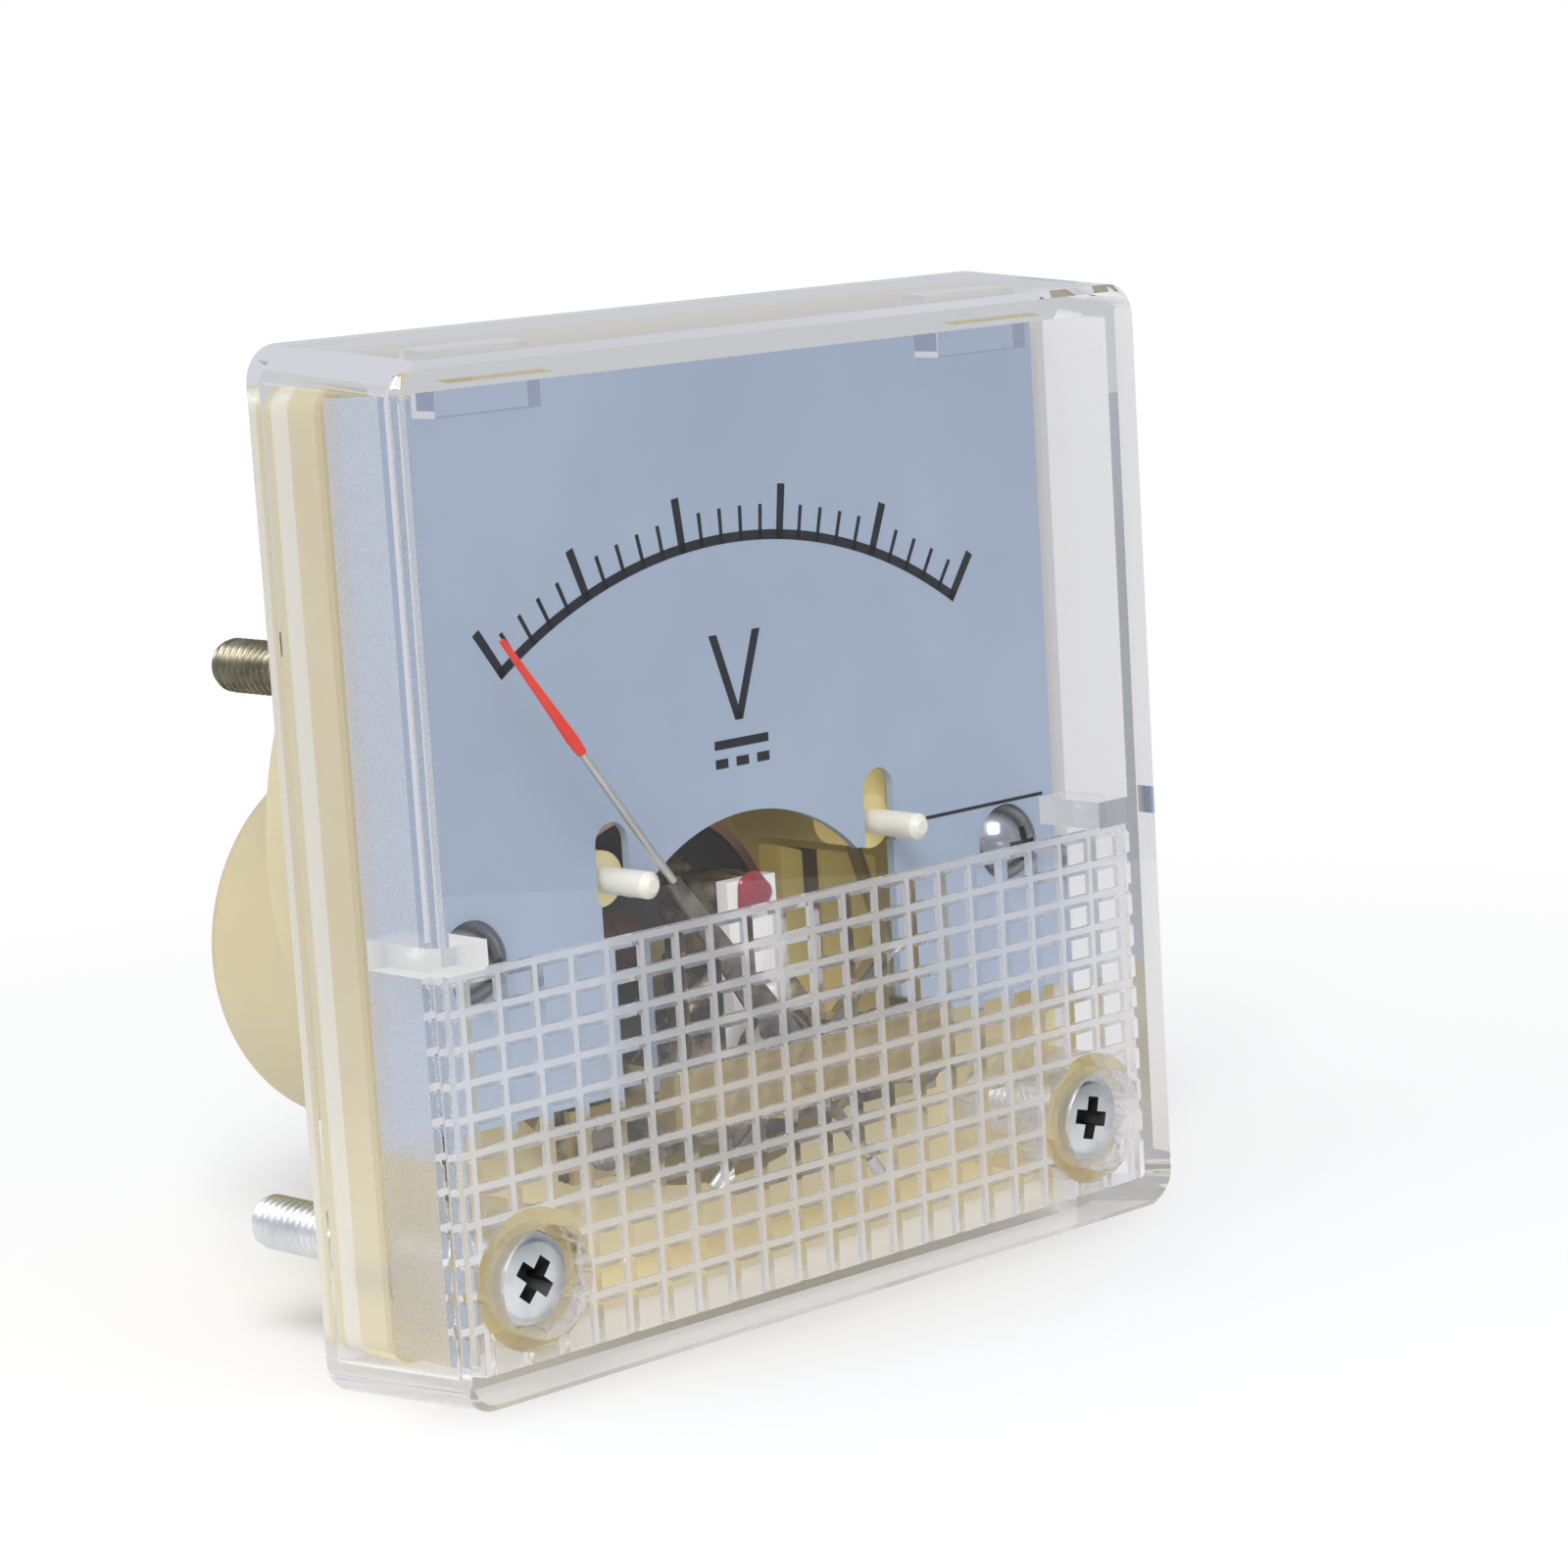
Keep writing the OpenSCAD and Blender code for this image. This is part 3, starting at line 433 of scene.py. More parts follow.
# also painted on the base: an ochre line of painted shade along the rim's edge on the tray
# sides, a lighter band on the tray sides, and the rim's front face at the right pale grey for
# the light coming through the right wall
for mask, color in (
        (hollow_shade_and_glow, (0.46, 0.4, 0.16)),
        (cream.within(("Y", rim_y - 0.01, rim_y + 0.35), tray_side), (0.6, 0.52, 0.32)),
        (cream.within(("Y", -1.6, -0.5), tray_side), (0.8, 0.78, 0.68)),
        (cream.within(("Y", rim_y - 0.05, rim_y + 0.05), ("X", 19.4, FAR)), (0.8, 0.8, 0.8)),
        (posts[0], (0.8, 0.76, 0.52)),
        (posts[1], (0.82, 0.73, 0.38)),
        (tray_painted_light, (0.84, 0.76, 0.5))):
    cream.blend_color(mask, base_color, color)
# painted glow: emission on the posts, the tray and, faintly, the barrel's inside
lit = cream.math("ADD", *posts)
lit = cream.math("MULTIPLY_ADD", lit, 0.4, cream.math("MULTIPLY", tray_painted_light, 0.16))
cream.link(cream.math("MULTIPLY_ADD", hollow_shade_and_glow, 0.07, lit), cream.b.inputs["Emission Strength"])
cream.b.inputs["Emission Color"].default_value = (0.62, 0.5, 0.16, 1)
cream.translucent((0.8, 0.66, 0.28), 0.25)

# the blue-grey is painted shade: the dial's white as it looks in the shade under the cover
dial = Mat("dial_enamel", (0.38, 0.45, 0.56), 0.45, IOR=1.45)
dial.tint(dial.noise(70, 4), (0.36, 0.435, 0.545), (0.4, 0.475, 0.59))
dial.bump(dial.noise(1500, 3), 0.05, 0.02)
dial.b.inputs["Specular IOR Level"].default_value = 0.25

ink = Mat("dial_ink", (0.012, 0.016, 0.028), 0.5)
ink.tint(ink.noise(1200, 3), (0.004, 0.006, 0.012), (0.01, 0.013, 0.02))
ink.b.inputs["Specular IOR Level"].default_value = 0.15

chrome = Mat("chrome_plate", (0.62, 0.62, 0.65), 0.16, 1.0)
chrome.rough(chrome.noise(900, 4), 0.1, 0.26)
# the ramp paints reflections into the plating: dark and light rings by the angle of view
chrome.facing([(0.0, (0.4, 0.42, 0.46)), (0.12, (0.5, 0.52, 0.57)), (0.28, (0.06, 0.06, 0.065)),
               (0.5, (0.24, 0.25, 0.27)), (0.7, (0.03, 0.03, 0.033)), (1.0, (0.24, 0.25, 0.26))])

zinc = Mat("zinc_plate", (0.66, 0.69, 0.72), 0.28, 1.0)
zinc.tint(zinc.noise(420, 4), (0.56, 0.6, 0.64), (0.78, 0.8, 0.82))
zinc.rough(zinc.noise(1300, 4), 0.2, 0.42)
zinc.bump(zinc.noise(1800, 3), 0.15, 0.02)

# painted shade for the walls of the cross recesses
shade = Mat("recess_painted_shade", (0.012, 0.012, 0.012), 0.55, 0.3)
shade.tint(shade.noise(900, 4), (0.006, 0.006, 0.006), (0.03, 0.03, 0.028))

nickel = Mat("dark_nickel", (0.34, 0.33, 0.27), 0.32, 1.0)
nickel.tint(nickel.noise(500, 4), (0.11, 0.1, 0.07), (0.3, 0.28, 0.21))
nickel.rough(nickel.noise(900, 4), 0.22, 0.45)

brass = Mat("rolled_brass", (0.78, 0.6, 0.25), 0.3, 1.0)
brass.tint(brass.noise(250, 4, (1, 1, 6)), (0.4, 0.31, 0.13), (0.56, 0.46, 0.24))
brass.rough(brass.noise(900, 4, (1, 1, 8)), 0.22, 0.42)

nylon = Mat("nylon", (0.82, 0.8, 0.68), 0.38, IOR=1.5)
nylon.tint(nylon.noise(400, 3), (0.78, 0.75, 0.62), (0.86, 0.84, 0.74))
nylon.b.inputs["Subsurface Weight"].default_value = 0.6
nylon.b.inputs["Subsurface Radius"].default_value = (1.0, 0.9, 0.7)
nylon.b.inputs["Subsurface Scale"].default_value = 0.0009

copper_plate = Mat("copper_flash", (0.8, 0.45, 0.36), 0.3, 1.0)
copper_plate.tint(copper_plate.noise(300, 4), (0.7, 0.38, 0.3), (0.86, 0.56, 0.47))
copper_plate.rough(copper_plate.noise(900, 3), 0.25, 0.42)

black_iron = Mat("black_oxide", (0.012, 0.012, 0.015), 0.42)
black_iron.tint(black_iron.noise(500, 4), (0.008, 0.008, 0.01), (0.03, 0.03, 0.035))
black_iron.bump(black_iron.noise(1500, 4), 0.2, 0.02)

magnet = Mat("magnet_metal", (0.3, 0.3, 0.31), 0.35, 1.0)
magnet.tint(magnet.noise(300, 5), (0.22, 0.22, 0.23), (0.4, 0.4, 0.41))

cast_zinc = Mat("cast_zinc", (0.2, 0.17, 0.1), 0.42, 0.45)
cast_zinc.tint(cast_zinc.noise(650, 6), (0.02, 0.014, 0.008), (0.32, 0.26, 0.16), 0.42, 0.62)
cast_zinc.bump(cast_zinc.noise(700, 5), 0.5, 0.12)
cast_zinc.rough(cast_zinc.noise(500, 4), 0.3, 0.55)

steel = Mat("bright_steel", (0.6, 0.6, 0.62), 0.25, 1.0)
steel.rough(steel.noise(1200, 4), 0.18, 0.36)

white = Mat("white_plastic", (0.85, 0.84, 0.82), 0.35, IOR=1.5)
white.tint(white.noise(300, 3), (0.82, 0.8, 0.78), (0.9, 0.89, 0.87))
white.b.inputs["Subsurface Weight"].default_value = 0.3
white.b.inputs["Subsurface Scale"].default_value = 0.0006

lacquer = Mat("red_lacquer", (0.27, 0.004, 0.02), 0.16, IOR=1.5)
lacquer.tint(lacquer.noise(700, 3), (0.2, 0.003, 0.014), (0.34, 0.008, 0.03))
lacquer.b.inputs["Coat Weight"].default_value = 0.6
lacquer.bump(lacquer.noise(500, 3), 0.3, 0.08)

ruby = Mat("ruby", (0.5, 0.01, 0.06), 0.08, IOR=1.76)
ruby.tint(ruby.noise(900, 2), (0.4, 0.006, 0.04), (0.6, 0.02, 0.1))

bronze = Mat("spring_bronze", (0.6, 0.4, 0.18), 0.25, 1.0)
bronze.rough(bronze.noise(1500, 3), 0.18, 0.34)

resistor = Mat("resistor_coat", (0.1, 0.022, 0.013), 0.32, IOR=1.5)
resistor.tint(resistor.noise(400, 4), (0.07, 0.016, 0.01), (0.15, 0.04, 0.02))

wire = Mat("wire_coat", (0.01, 0.16, 0.15), 0.35, IOR=1.48)
wire.tint(wire.noise(500, 3), (0.007, 0.12, 0.11), (0.015, 0.2, 0.18))
wire.blend_color(wire.within(("X", 0, 20)), wire.b.inputs["Base Color"], (0.4, 0.32, 0.12))

red = Mat("red_paint", (0.86, 0.03, 0.008), 0.35, IOR=1.48)
red.tint(red.noise(600, 3), (0.8, 0.022, 0.006), (0.92, 0.05, 0.015))

tube = Mat("drawn_tube", (0.62, 0.6, 0.57), 0.32, 1.0)
tube.tint(tube.noise(400, 3), (0.52, 0.5, 0.47), (0.72, 0.7, 0.67))

foot = Mat("foot_metal", (0.16, 0.15, 0.11), 0.4, 0.8)
foot.tint(foot.noise(700, 5), (0.05, 0.046, 0.032), (0.28, 0.26, 0.19), 0.35, 0.65)
foot.bump(foot.noise(900, 4), 0.3, 0.05)

alu = Mat("aluminium", (0.75, 0.75, 0.77), 0.3, 1.0)
alu.rough(alu.noise(900, 4, (1, 8, 1)), 0.22, 0.4)

copper = Mat("enamelled_copper", (0.42, 0.14, 0.045), 0.3, 0.85)
copper.tint(copper.wave(900, "Y"), (0.3, 0.09, 0.03), (0.52, 0.2, 0.07))
copper.bump(copper.wave(900, "Y"), 0.6, 0.05)


for node, mat in {
    "base_housing": cream, "dial_plate": dial, "dial_screws": chrome,
    "terminal_washers": zinc, "terminal_nuts": nickel, "stop_pegs": nylon,
    "yoke_sleeve": copper_plate, "yoke_block": black_iron, "core_magnet": magnet,
    "core_straps": brass, "rear_plate": cast_zinc, "movement_frame": cast_zinc,
    "front_bridge": brass, "frame_screws": nickel, "jewel_screws": brass, "jewels": ruby,
    "zero_lever": white, "zero_seal": lacquer, "front_hairspring": bronze,
    "rear_hairspring": bronze, "series_resistor": resistor, "lead_wires": wire,
    "pointer_tip": red, "pointer_tube": tube, "pointer_foot": foot,
    "balance_weights": tube, "staffs": steel, "coil_former": alu, "moving_coil": copper,
    "mounting_screws": zinc, "terminal_studs": nickel, "front_cover": clear,
}.items():
    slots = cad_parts[node].data.materials
    slots.clear()
    slots.append(mat.m)


# -------------------------------------------------------------------- cover

cover = copy_of("front_cover", "cover_moulding")
bm = bmesh.new()
bm.from_mesh(cover.data)
bmesh.ops.dissolve_limit(bm, angle_limit=math.radians(0.6), verts=bm.verts, edges=bm.edges,
                         delimit={"NORMAL"})
bm.to_mesh(cover.data)
bm.free()
add_bevel(cover, 0.05, 28)
weigh = cover.modifiers.new("normals", "WEIGHTED_NORMAL")
weigh.mode = "FACE_AREA"
weigh.weight = 100
weigh.keep_sharp = True
for p in cover.data.polygons:
    p.use_smooth = True
apply_modifiers(cover)
finishes = [clear, frosted, ribbed, frost_painted_light, lug_frost, crest, underside_glow]
cover.data.materials.clear()
for mat in finishes:
    cover.data.materials.append(mat.m)


def finish_of(c, n):
    """The finish of a face of the cover, from its middle in millimetres and its normal."""
    side_wall = abs(abs(c.x) - (cover_hi.x - WALL)) < 0.12 and abs(n.x) > 0.9 and n.x * c.x < 0
    behind = c.y - window_back
    off_screw = math.hypot(abs(c.x) - screw_x, c.z - screw_z)
    # underside
    if n.z < -0.9 and c.z < cover_lo.z + 0.6:
        return underside_glow
    # ribs inside the window, 0.46 high
    if 0.002 < behind < 0.46 and abs(c.x) < base_hi.x and c.z < -2 and abs(n.z) < 0.99:
        return crest if behind > 0.36 else ribbed
    # lug at the left end of the dial's lower edge
    if (base_lo.x - 0.05 < c.x < -18.5 and -2.9 < c.z < -1.4
            and 0.02 < behind and c.y < dial_lo.y + 0.1):
        return lug_frost
    # screw cups
    if abs(off_screw - CUP_R) < 0.42 and c.y > cover_lo.y + 0.1:
        return ribbed
    # insides of the side walls
    if side_wall and c.y > cover_lo.y + 1.0:
        return frosted if c.x < 0 else frost_painted_light
    return clear


for p in cover.data.polygons:
    p.material_index = finishes.index(finish_of(p.center / MM, p.normal))
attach(cover, "case")
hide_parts("front_cover")


# ---------------------------------------------------------------- dial print

INK_T = 0.012                       # thickness of the ink
ARC_IN = 23.68                      # inner and outer edge of the scale's arc
ARC_OUT = 24.12
MAJOR_TOP = 26.15                   # outer end of the long and short ticks
MINOR_TOP = 25.25
MAJOR_HALF = 0.21                   # half widths of the ticks
MINOR_HALF = 0.1
ARC_END = 35.05                     # degrees from the middle to an end of the scale
ARC_STEPS = 90
SCALE_DROP = 11.58                  # middle of the arc below the middle of the face
TICKS = 25                          # divisions, with a long tick at every fifth
LETTER_TOP = face_z + 8.15          # the V
LETTER_FOOT = face_z + 4.25


def strip(pts_a, pts_b):
    """A thin printed strip between two rows of points on the dial."""
    n = len(pts_a)
    verts = []
    for y in (dial_lo.y - INK_T, dial_lo.y):
        verts += [(x, y, z) for x, z in pts_a] + [(x, y, z) for x, z in pts_b]
    faces = []
    for i in range(n - 1):
        a, b = i, i + 1
        faces.append((a, b, n + b, n + a))
        faces.append((2 * n + a, 3 * n + a, 3 * n + b, 2 * n + b))
        faces.append((a, 2 * n + a, 2 * n + b, b))
        faces.append((n + a, n + b, 3 * n + b, 3 * n + a))
    faces.append((0, n, 3 * n, 2 * n))
    faces.append((n - 1, 3 * n - 1, 4 * n - 1, 2 * n - 1))
    return verts, faces


def on_scale(r, deg):
    """A point at a radius and an angle from the upright on the scale."""
    a = math.radians(deg)
    return r * math.sin(a), face_z - SCALE_DROP + r * math.cos(a)


def tick(i):
    """One tick of the scale; the two end ticks lie inside the arc's ends."""
    major = i % 5 == 0
    half = math.degrees((MAJOR_HALF if major else MINOR_HALF) / TICKS)
    top = MAJOR_TOP if major else MINOR_TOP
    a = -ARC_END + 2 * ARC_END * i / TICKS
    if i == 0:
        a += half
    if i == TICKS:
        a -= half
    return strip([on_scale(ARC_IN, a - half), on_scale(top, a - half)],
                 [on_scale(ARC_IN, a + half), on_scale(top, a + half)])


def bar(x0, x1, z0, z1):
    """A printed rectangle, its heights from the middle of the face."""
    z0 += face_z
    z1 += face_z
    return strip([(x0, z0), (x1, z0)], [(x0, z1), (x1, z1)])


def stroke(top_left, top_right, foot_left, foot_right):
    """A slanting stroke of the letter."""
    return strip([(top_left, LETTER_TOP), (foot_left, LETTER_FOOT)],
                 [(top_right, LETTER_TOP), (foot_right, LETTER_FOOT)])


arc = [-ARC_END + 2 * ARC_END * i / ARC_STEPS for i in range(ARC_STEPS + 1)]
printed = [strip([on_scale(ARC_IN, a) for a in arc], [on_scale(ARC_OUT, a) for a in arc])]
printed += [tick(i) for i in range(TICKS + 1)]
# letter for volts, sign for direct current, thin line at the right
printed += [stroke(-1.72, -1.25, -0.42, 0.02), stroke(0.9, 1.37, -0.4, 0.04)]
printed.append(bar(-1.75, 1.5, 3.05, 3.45))
printed += [bar(x, x + 0.75, 2.2, 2.62) for x in (-1.75, -0.5, 0.75)]
printed.append(bar(10.6, 18.9, -2.04, -1.88))
dial_print = new_mesh("dial_print", *merged(printed))
dial_print.data.materials.append(ink.m)
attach(dial_print, "case")


# ------------------------------------------------------------------ threads

SEG = 28                            # sides of a thread, and its rows of points in a turn
PER_TURN = 8
FLAT = 0.12                         # flat share of the thread's crest and root


def rings(rows, seg):
    """The faces of a closed round bar whose points lie in rows."""
    faces = []
    for i in range(rows):
        for j in range(seg):
            a = i * seg + j
            b = i * seg + (j + 1) % seg
            faces.append((a, b, b + seg, a + seg))
    faces.append(tuple(range(seg)))
    faces.append(tuple(rows * seg + j for j in range(seg)))
    return faces


def threaded(x, z, y0, y1, depth, round_end):
    """A threaded bar along the depth, with a rounded end at y1."""
    rows = int((y1 - y0) / PITCH * PER_TURN)
    verts = []
    for i in range(rows + 1):
        y = y0 + (y1 - y0) * i / rows
        end_r = THREAD_R
        if y1 - y < round_end:
            q = 1 - (y1 - y) / round_end
            end_r -= round_end * (1 - math.sqrt(max(0.0, 1 - q * q)))
        for j in range(SEG):
            t = (y / PITCH - j / SEG) % 1.0
            slope = (abs(2 * t - 1) - FLAT) / (1 - 2 * FLAT)
            r = min(THREAD_R - depth * min(1.0, max(0.0, slope)), end_r)
            a = 2 * math.pi * j / SEG
            verts.append((x + r * math.cos(a), y, z + r * math.sin(a)))
    return verts, rings(rows, SEG)


def lathe(x, z, profile, seg=48):
    """A turned piece along the depth from (radius, y) points."""
    verts = []
    for r, y in profile:
        for j in range(seg):
            a = 2 * math.pi * j / seg
            verts.append((x + r * math.cos(a), y, z + r * math.sin(a)))
    return verts, rings(len(profile) - 1, seg)


def joined(name, parts, mat, degrees=40):
    """One shaded piece from several meshes."""
    ob = new_mesh(name, *merged(parts))
    ob.data.materials.append(mat.m)
    smooth_by_angle(ob, degrees)
    return ob


# ---------------------------------------------------------- the long screws

AXIS_R = 0.001                      # radius of a turned piece's points on its axis
CROSS_HALF = 1.12                   # half span and half width of the cross recess
CROSS_W = 0.36
CROSS_DEEP = 1.0
DOME_R = 1.55                       # shallow dome of the head, then its round shoulder
DOME_H = 0.1
SHOULDER = 0.42
EDGE = 0.06
CORNERS = ((-1, -1), (1, -1), (1, 1), (-1, 1))
SIDES = ((0, 1, 2, 3), (7, 6, 5, 4), (0, 4, 5, 1), (1, 5, 6, 2), (2, 6, 7, 3), (3, 7, 4, 0))
head_y = screw_lo.y


def cross_cutter(x, z, y, angle):
    """A cross recess that narrows with depth."""
    mouth = (y - 0.3, CROSS_HALF + 0.12, CROSS_W + 0.03)
    bottom = (y + CROSS_DEEP, CROSS_HALF * 0.35, CROSS_W * 0.6)
    arms = []
    for turn in (0, math.pi / 2):
        c = math.cos(angle + turn)
        s = math.sin(angle + turn)
        verts = []
        for level, span, width in (mouth, bottom):
            for sx, sz in CORNERS:
                px = sx * span
                pz = sz * width
                verts.append((x + px * c - pz * s, level, z + px * s + pz * c))
        arms.append((verts, SIDES))
    return new_mesh("cutter", *merged(arms))


def pan_head(name, x, angle):
    """A domed head with a cross recess, whose walls are painted dark for the shade in it."""
    profile = [(AXIS_R, head_y)]
    for i in range(1, 9):
        t = i / 8
        profile.append((DOME_R * t, head_y + DOME_H * t * t))
    for i in range(1, 7):
        a = math.pi / 2 * i / 6
        profile.append((DOME_R + (head_r - DOME_R) * math.sin(a),
                        head_y + DOME_H + SHOULDER * (1 - math.cos(a))))
    back = head_y + HEAD_H
    profile += [(head_r, back - EDGE), (head_r - EDGE, back), (1.2, back), (AXIS_R, back)]
    ob = new_mesh(name, *lathe(x, screw_z, profile))
    recess = cross_cutter(x, screw_z, head_y, angle)
    m = ob.modifiers.new("cut", "BOOLEAN")
    m.object = recess
    m.operation = "DIFFERENCE"
    m.solver = "EXACT"
    m.use_self = True
    apply_modifiers(ob)
    bpy.data.objects.remove(recess)
    ob.data.materials.append(zinc.m)
    ob.data.materials.append(shade.m)
    for p in ob.data.polygons:
        c = p.center / MM
        in_recess = math.hypot(c.x - x, c.z - screw_z) < 1.5
        if in_recess and 0.14 < c.y - head_y < 1.2:
            p.material_index = 1
    smooth_by_angle(ob, 35)
    return ob


for head in (pan_head("screw_head_left", -screw_x, math.radians(-40)),
             pan_head("screw_head_right", screw_x, math.radians(-15))):
    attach(head, "case")
shanks = [threaded(side * screw_x, screw_z, head_y + HEAD_H - 0.01, screw_hi.y,
                   depth=0.24, round_end=0.35)
          for side in (-1, 1)]
screws = joined("panel_screws", shanks, zinc)
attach(screws, "case")
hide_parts("mounting_screws")


# ------------------------------------------------------------ the terminals

FLANGE_R = 2.1                      # head of a terminal stud inside the case
FLANGE_T = 1.2
stud_x = (stud_hi.x - stud_lo.x) / 2 - FLANGE_R
stud_z = (stud_hi.z + stud_lo.z) / 2
studs = []
for side in (-1, 1):
    y = stud_lo.y
    flange = [(AXIS_R, y), (1.7, y), (2.0, y + 0.12), (FLANGE_R, y + 0.3),
              (FLANGE_R, y + FLANGE_T), (AXIS_R, y + FLANGE_T)]
    studs.append(lathe(side * stud_x, stud_z, flange))
    studs.append(threaded(side * stud_x, stud_z, y + FLANGE_T - 0.01, stud_hi.y,
                          depth=0.22, round_end=0.75))
terminals = joined("terminal_threads", studs, nickel)
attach(terminals, "case")
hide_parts("terminal_studs")


# ---------------------------------------------------------- inside the arch

def prism(outline, y0, y1):
    """A piece with a front-view outline between two depths, in millimetres."""
    n = len(outline)
    verts = [(x, y, face_z - drop) for y in (y0, y1) for x, drop in outline]
    faces = [tuple(range(n)), tuple(range(2 * n - 1, n - 1, -1))]
    faces += [(i, (i + 1) % n, n + (i + 1) % n, n + i) for i in range(n)]
    return verts, faces


# the ledge is base plastic in shade: painted olive-gold, with a painted glow for light through
# the plastic
shaded_cream = Mat("shaded_abs", (0.72, 0.6, 0.2), 0.35, IOR=1.5)
shaded_cream.tint(shaded_cream.noise(200, 3), (0.66, 0.54, 0.17), (0.76, 0.64, 0.24))
shaded_cream.b.inputs["Emission Color"].default_value = (0.6, 0.47, 0.12, 1)
shaded_cream.b.inputs["Emission Strength"].default_value = 0.2
# painted shade: the slot's floor is a dark umber piece for the shade in the slot
umber = Mat("slot_shade", (0.12, 0.07, 0.015), 0.6)
umber.tint(umber.noise(300, 3), (0.1, 0.06, 0.012), (0.16, 0.1, 0.025))

# outlines as (x, drop below the middle of the face)
LEDGE_LEFT = ((8.4, 3.4), (9.85, 3.85), (9.85, 12), (8.4, 12))
LEDGE_RIGHT = ((11.0, 4.0), (14.6, 4.9), (14.6, 8), (13.2, 10), (11.0, 12))
SLOT = ((9.7, 3.8), (11.15, 4.05), (11.15, 10), (9.7, 10))
ledge = joined("base_ledge", [prism(LEDGE_LEFT, 2.9, 4.5), prism(LEDGE_RIGHT, 2.9, 4.5)], shaded_cream)
bevelled(ledge, 0.15)
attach(ledge, "case")
slot_floor = joined("slot_floor", [prism(SLOT, 3.2, 4.4)], umber)
bevelled(slot_floor, 0.1)
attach(slot_floor, "case")


def rough_copy(node, name, voxel, height, size):
    """The node's own shape with the skin of a rough casting, its dents by height and size."""
    ob = copy_of(node, name)
    rm = ob.modifiers.new("skin", "REMESH")
    rm.mode = "VOXEL"
    rm.voxel_size = voxel * MM
    apply_modifiers(ob)
    bm = bmesh.new()
    bm.from_mesh(ob.data)
    bm.normal_update()
    for v in bm.verts:
        dent = min(noise.fractal(v.co / MM / size, 0.8, 2.0, 3), 0.0)
        v.co += v.normal * dent * height * MM
    bm.to_mesh(ob.data)
    bm.free()
    ob.data.materials.append(cast_zinc.m)
    smooth_by_angle(ob, 50)
    return ob


casting = rough_copy("movement_frame", "frame_casting", voxel=0.22, height=0.45, size=0.9)
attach(casting, "case")
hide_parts("movement_frame")

lever = copy_of("zero_lever", "lever_moulding")
for v in lever.data.vertices:
    v.co.x *= 0.92
lever.data.materials.append(white.m)
bevelled(lever, 0.08)
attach(lever, "case")
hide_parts("zero_lever")

# a drop of lacquer with an uneven edge, flat on the lever
DROP_AT = Vector((0.08, seal_hi.y - 0.02, face_z - 3.66))
me = bpy.data.meshes.new("lacquer_drop")
bm = bmesh.new()
bmesh.ops.create_icosphere(bm, subdivisions=4, radius=1.0)
for v in bm.verts:
    a = math.atan2(v.co.z, v.co.x)
    r = 1.03 + 0.06 * math.cos(3 * a + 0.6) + 0.04 * math.cos(5 * a)
    v.co.x *= r
    v.co.z *= r * 0.97
    v.co.y *= 0.32 if v.co.y < 0 else 0.04
bm.to_mesh(me)
bm.free()
me.transform(Matrix.Scale(MM, 4))
me.transform(Matrix.Translation(DROP_AT * MM))
for p in me.polygons:
    p.use_smooth = True
me.materials.append(lacquer.m)
drop = placed("lacquer_drop", me)
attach(drop, "case")
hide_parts("zero_seal")


# -------------------------------------------------------------------- stage

def card(name, size, mat):
    """A flat square for the stage."""
    me = bpy.data.meshes.new(name)
    bm = bmesh.new()
    bmesh.ops.create_grid(bm, x_segments=1, y_segments=1, size=size)
    bm.to_mesh(me)
    bm.free()
    me.materials.append(mat.m)
    return placed(name, me)


# floor that fades out to the background, from 3 to 11 cm off the part
paper = Mat("floor_paper", (0.93, 0.93, 0.93), 0.9)
paper.b.inputs["Specular IOR Level"].default_value = 0.1
distance = paper.node("ShaderNodeVectorMath", operation="LENGTH")
paper.link(paper.co.outputs["Object"], distance.inputs[0])
fade = paper.node("ShaderNodeMapRange")
fade.inputs["From Min"].default_value = 0.03
fade.inputs["From Max"].default_value = 0.11
paper.link(distance.outputs["Value"], fade.inputs["Value"])
gone = paper.node("ShaderNodeBsdfTransparent")
surface = paper.mix(fade.outputs["Result"], paper.b.outputs[0], gone.outputs[0])
paper.link(surface, paper.nt.nodes["Material Output"].inputs["Surface"])
box_lo, box_hi = cad_box
floor = card("floor", 1.2, paper)
floor.location = ((box_lo[0] + box_hi[0]) / 2, (box_lo[1] + box_hi[1]) / 2, box_lo[2] - 0.0002)

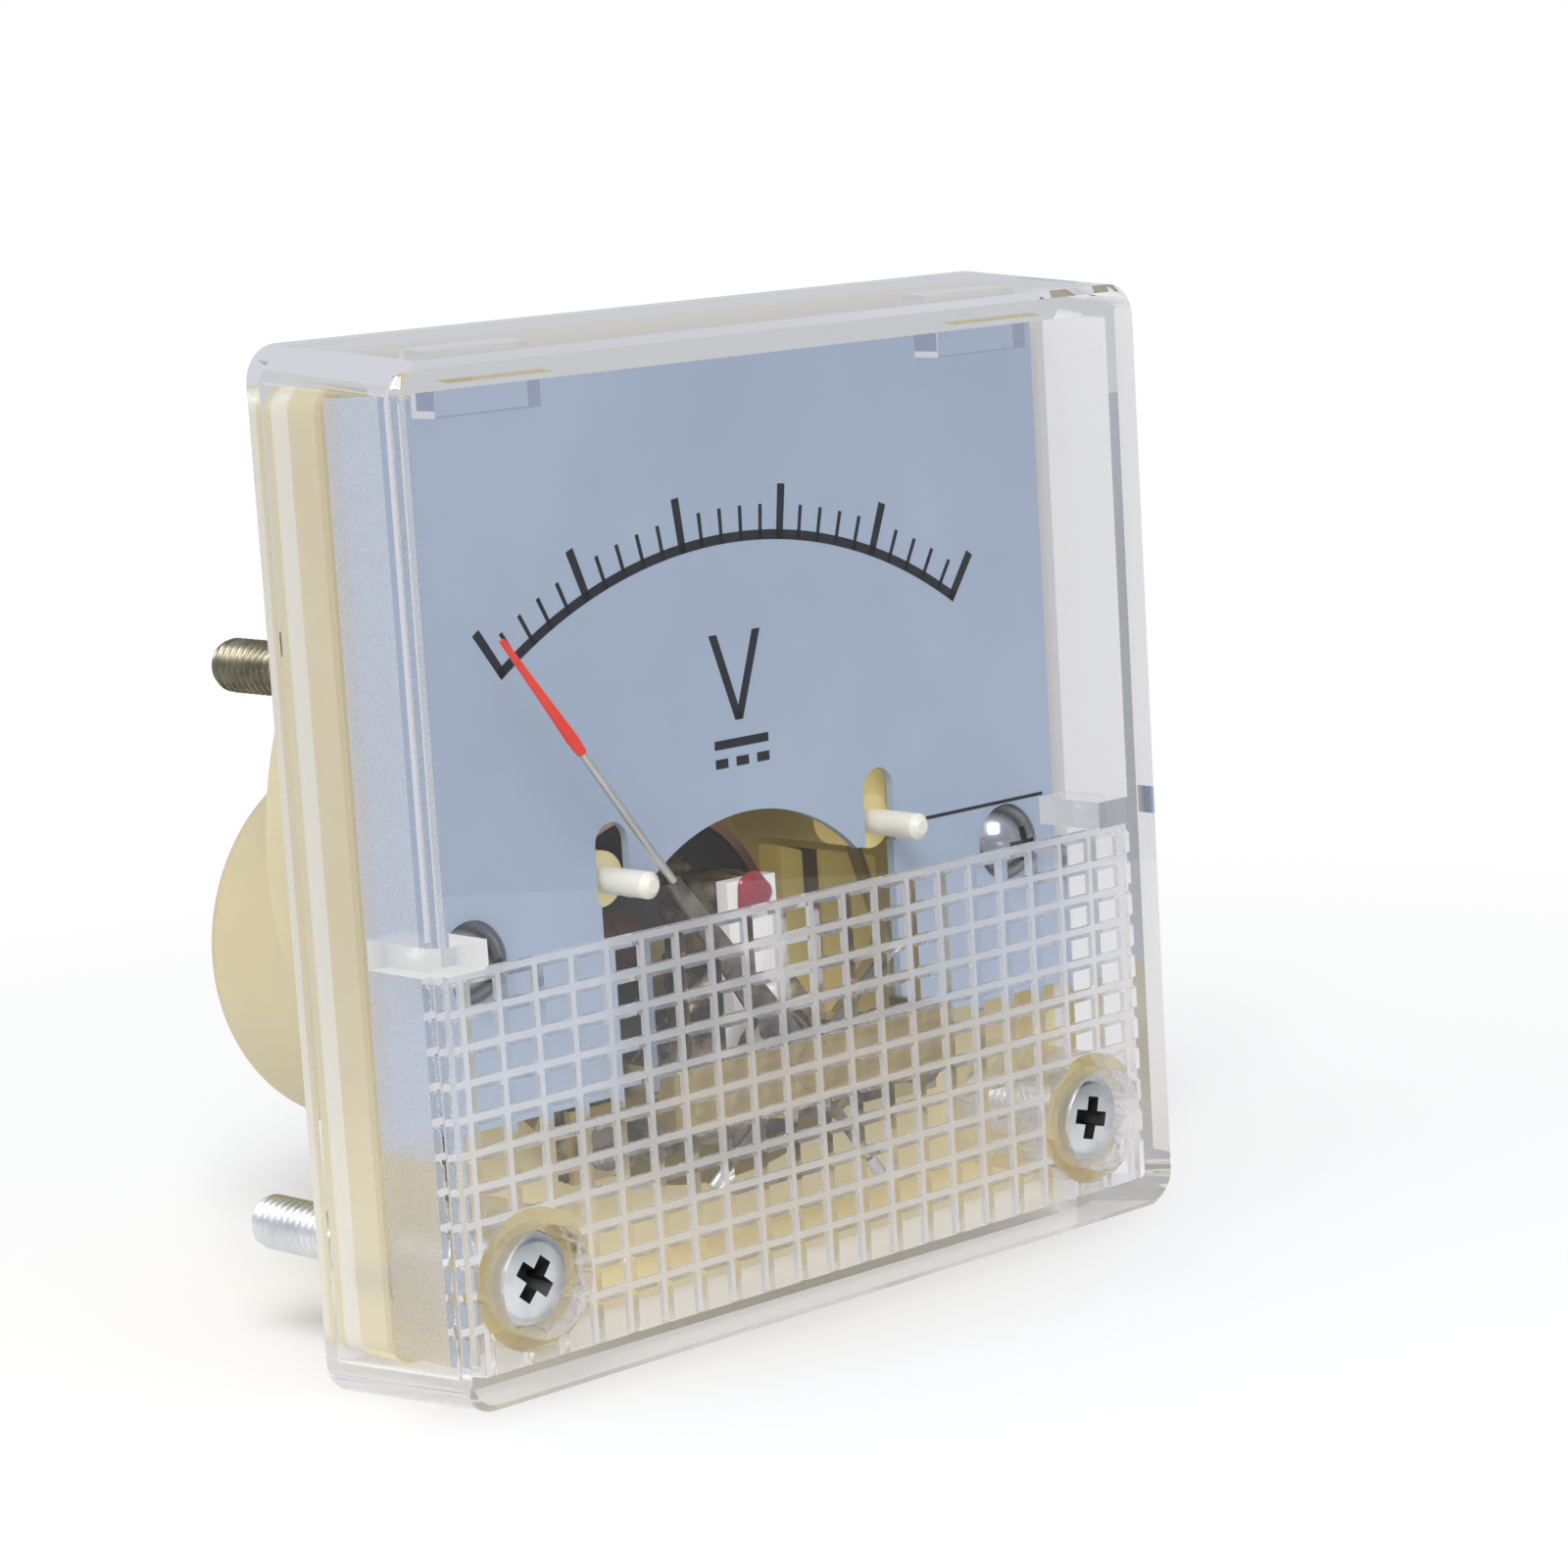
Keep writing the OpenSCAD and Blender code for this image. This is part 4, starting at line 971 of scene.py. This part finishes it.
# dark card at the right that only mirror-like reflections see
cloth = Mat("flag_cloth", (0.02, 0.02, 0.022), 0.9)
cloth.tint(cloth.noise(40, 2), (0.015, 0.015, 0.017), (0.03, 0.03, 0.032))
flag = card("flag", 0.5, cloth)
flag.location = (0.085, -0.085, 0.0)
flag.rotation_euler = (math.radians(90), 0, math.radians(45))
flag.scale = (0.13, 0.044, 1)
flag.visible_camera = False
flag.visible_diffuse = False
flag.visible_shadow = False
flag.visible_transmission = False
flag.visible_volume_scatter = False

# light gray surroundings, white where the camera sees them
world = bpy.data.worlds.new("studio")
bpy.context.scene.world = world
world.use_nodes = True
tree = world.node_tree
around = tree.nodes["Background"]
around.inputs["Color"].default_value = (0.8, 0.81, 0.83, 1)
around.inputs["Strength"].default_value = 0.75
seen = tree.nodes.new("ShaderNodeBackground")
seen.inputs["Color"].default_value = (1, 1, 1, 1)
path = tree.nodes.new("ShaderNodeLightPath")
either = tree.nodes.new("ShaderNodeMixShader")
tree.links.new(path.outputs["Is Camera Ray"], either.inputs[0])
tree.links.new(around.outputs[0], either.inputs[1])
tree.links.new(seen.outputs[0], either.inputs[2])
tree.links.new(either.outputs[0], tree.nodes["World Output"].inputs["Surface"])


def area(name, place, size, power):
    """A soft light that points at the part."""
    light = bpy.data.lights.new(name, "AREA")
    light.shape = "RECTANGLE"
    light.size, light.size_y = size
    light.energy = power
    ob = placed(name, light)
    ob.location = place
    ob.rotation_euler = (-Vector(place)).to_track_quat("-Z", "Y").to_euler()


area("key", (-0.32, -0.3, 0.42), (0.3, 0.3), 2.6)
area("fill", (-0.5, 0.12, 0.1), (0.3, 0.4), 0.7)


# ------------------------------------------------------------------- camera

cam = bpy.data.cameras.new("camera")
cam.lens = 108.37
cam.sensor_width = 36
cam.sensor_fit = "HORIZONTAL"
cam.shift_x = -0.1195
cam.shift_y = 0.1175
cam.clip_start = 0.01
cam.clip_end = 20
camera = placed("camera", cam)
camera.location = (-0.14048, -0.15834, 0.03441)
camera.rotation_euler = (1.37392, 0.05230, -0.79764)
bpy.context.scene.camera = camera
bpy.context.scene.view_settings.view_transform = "Standard"
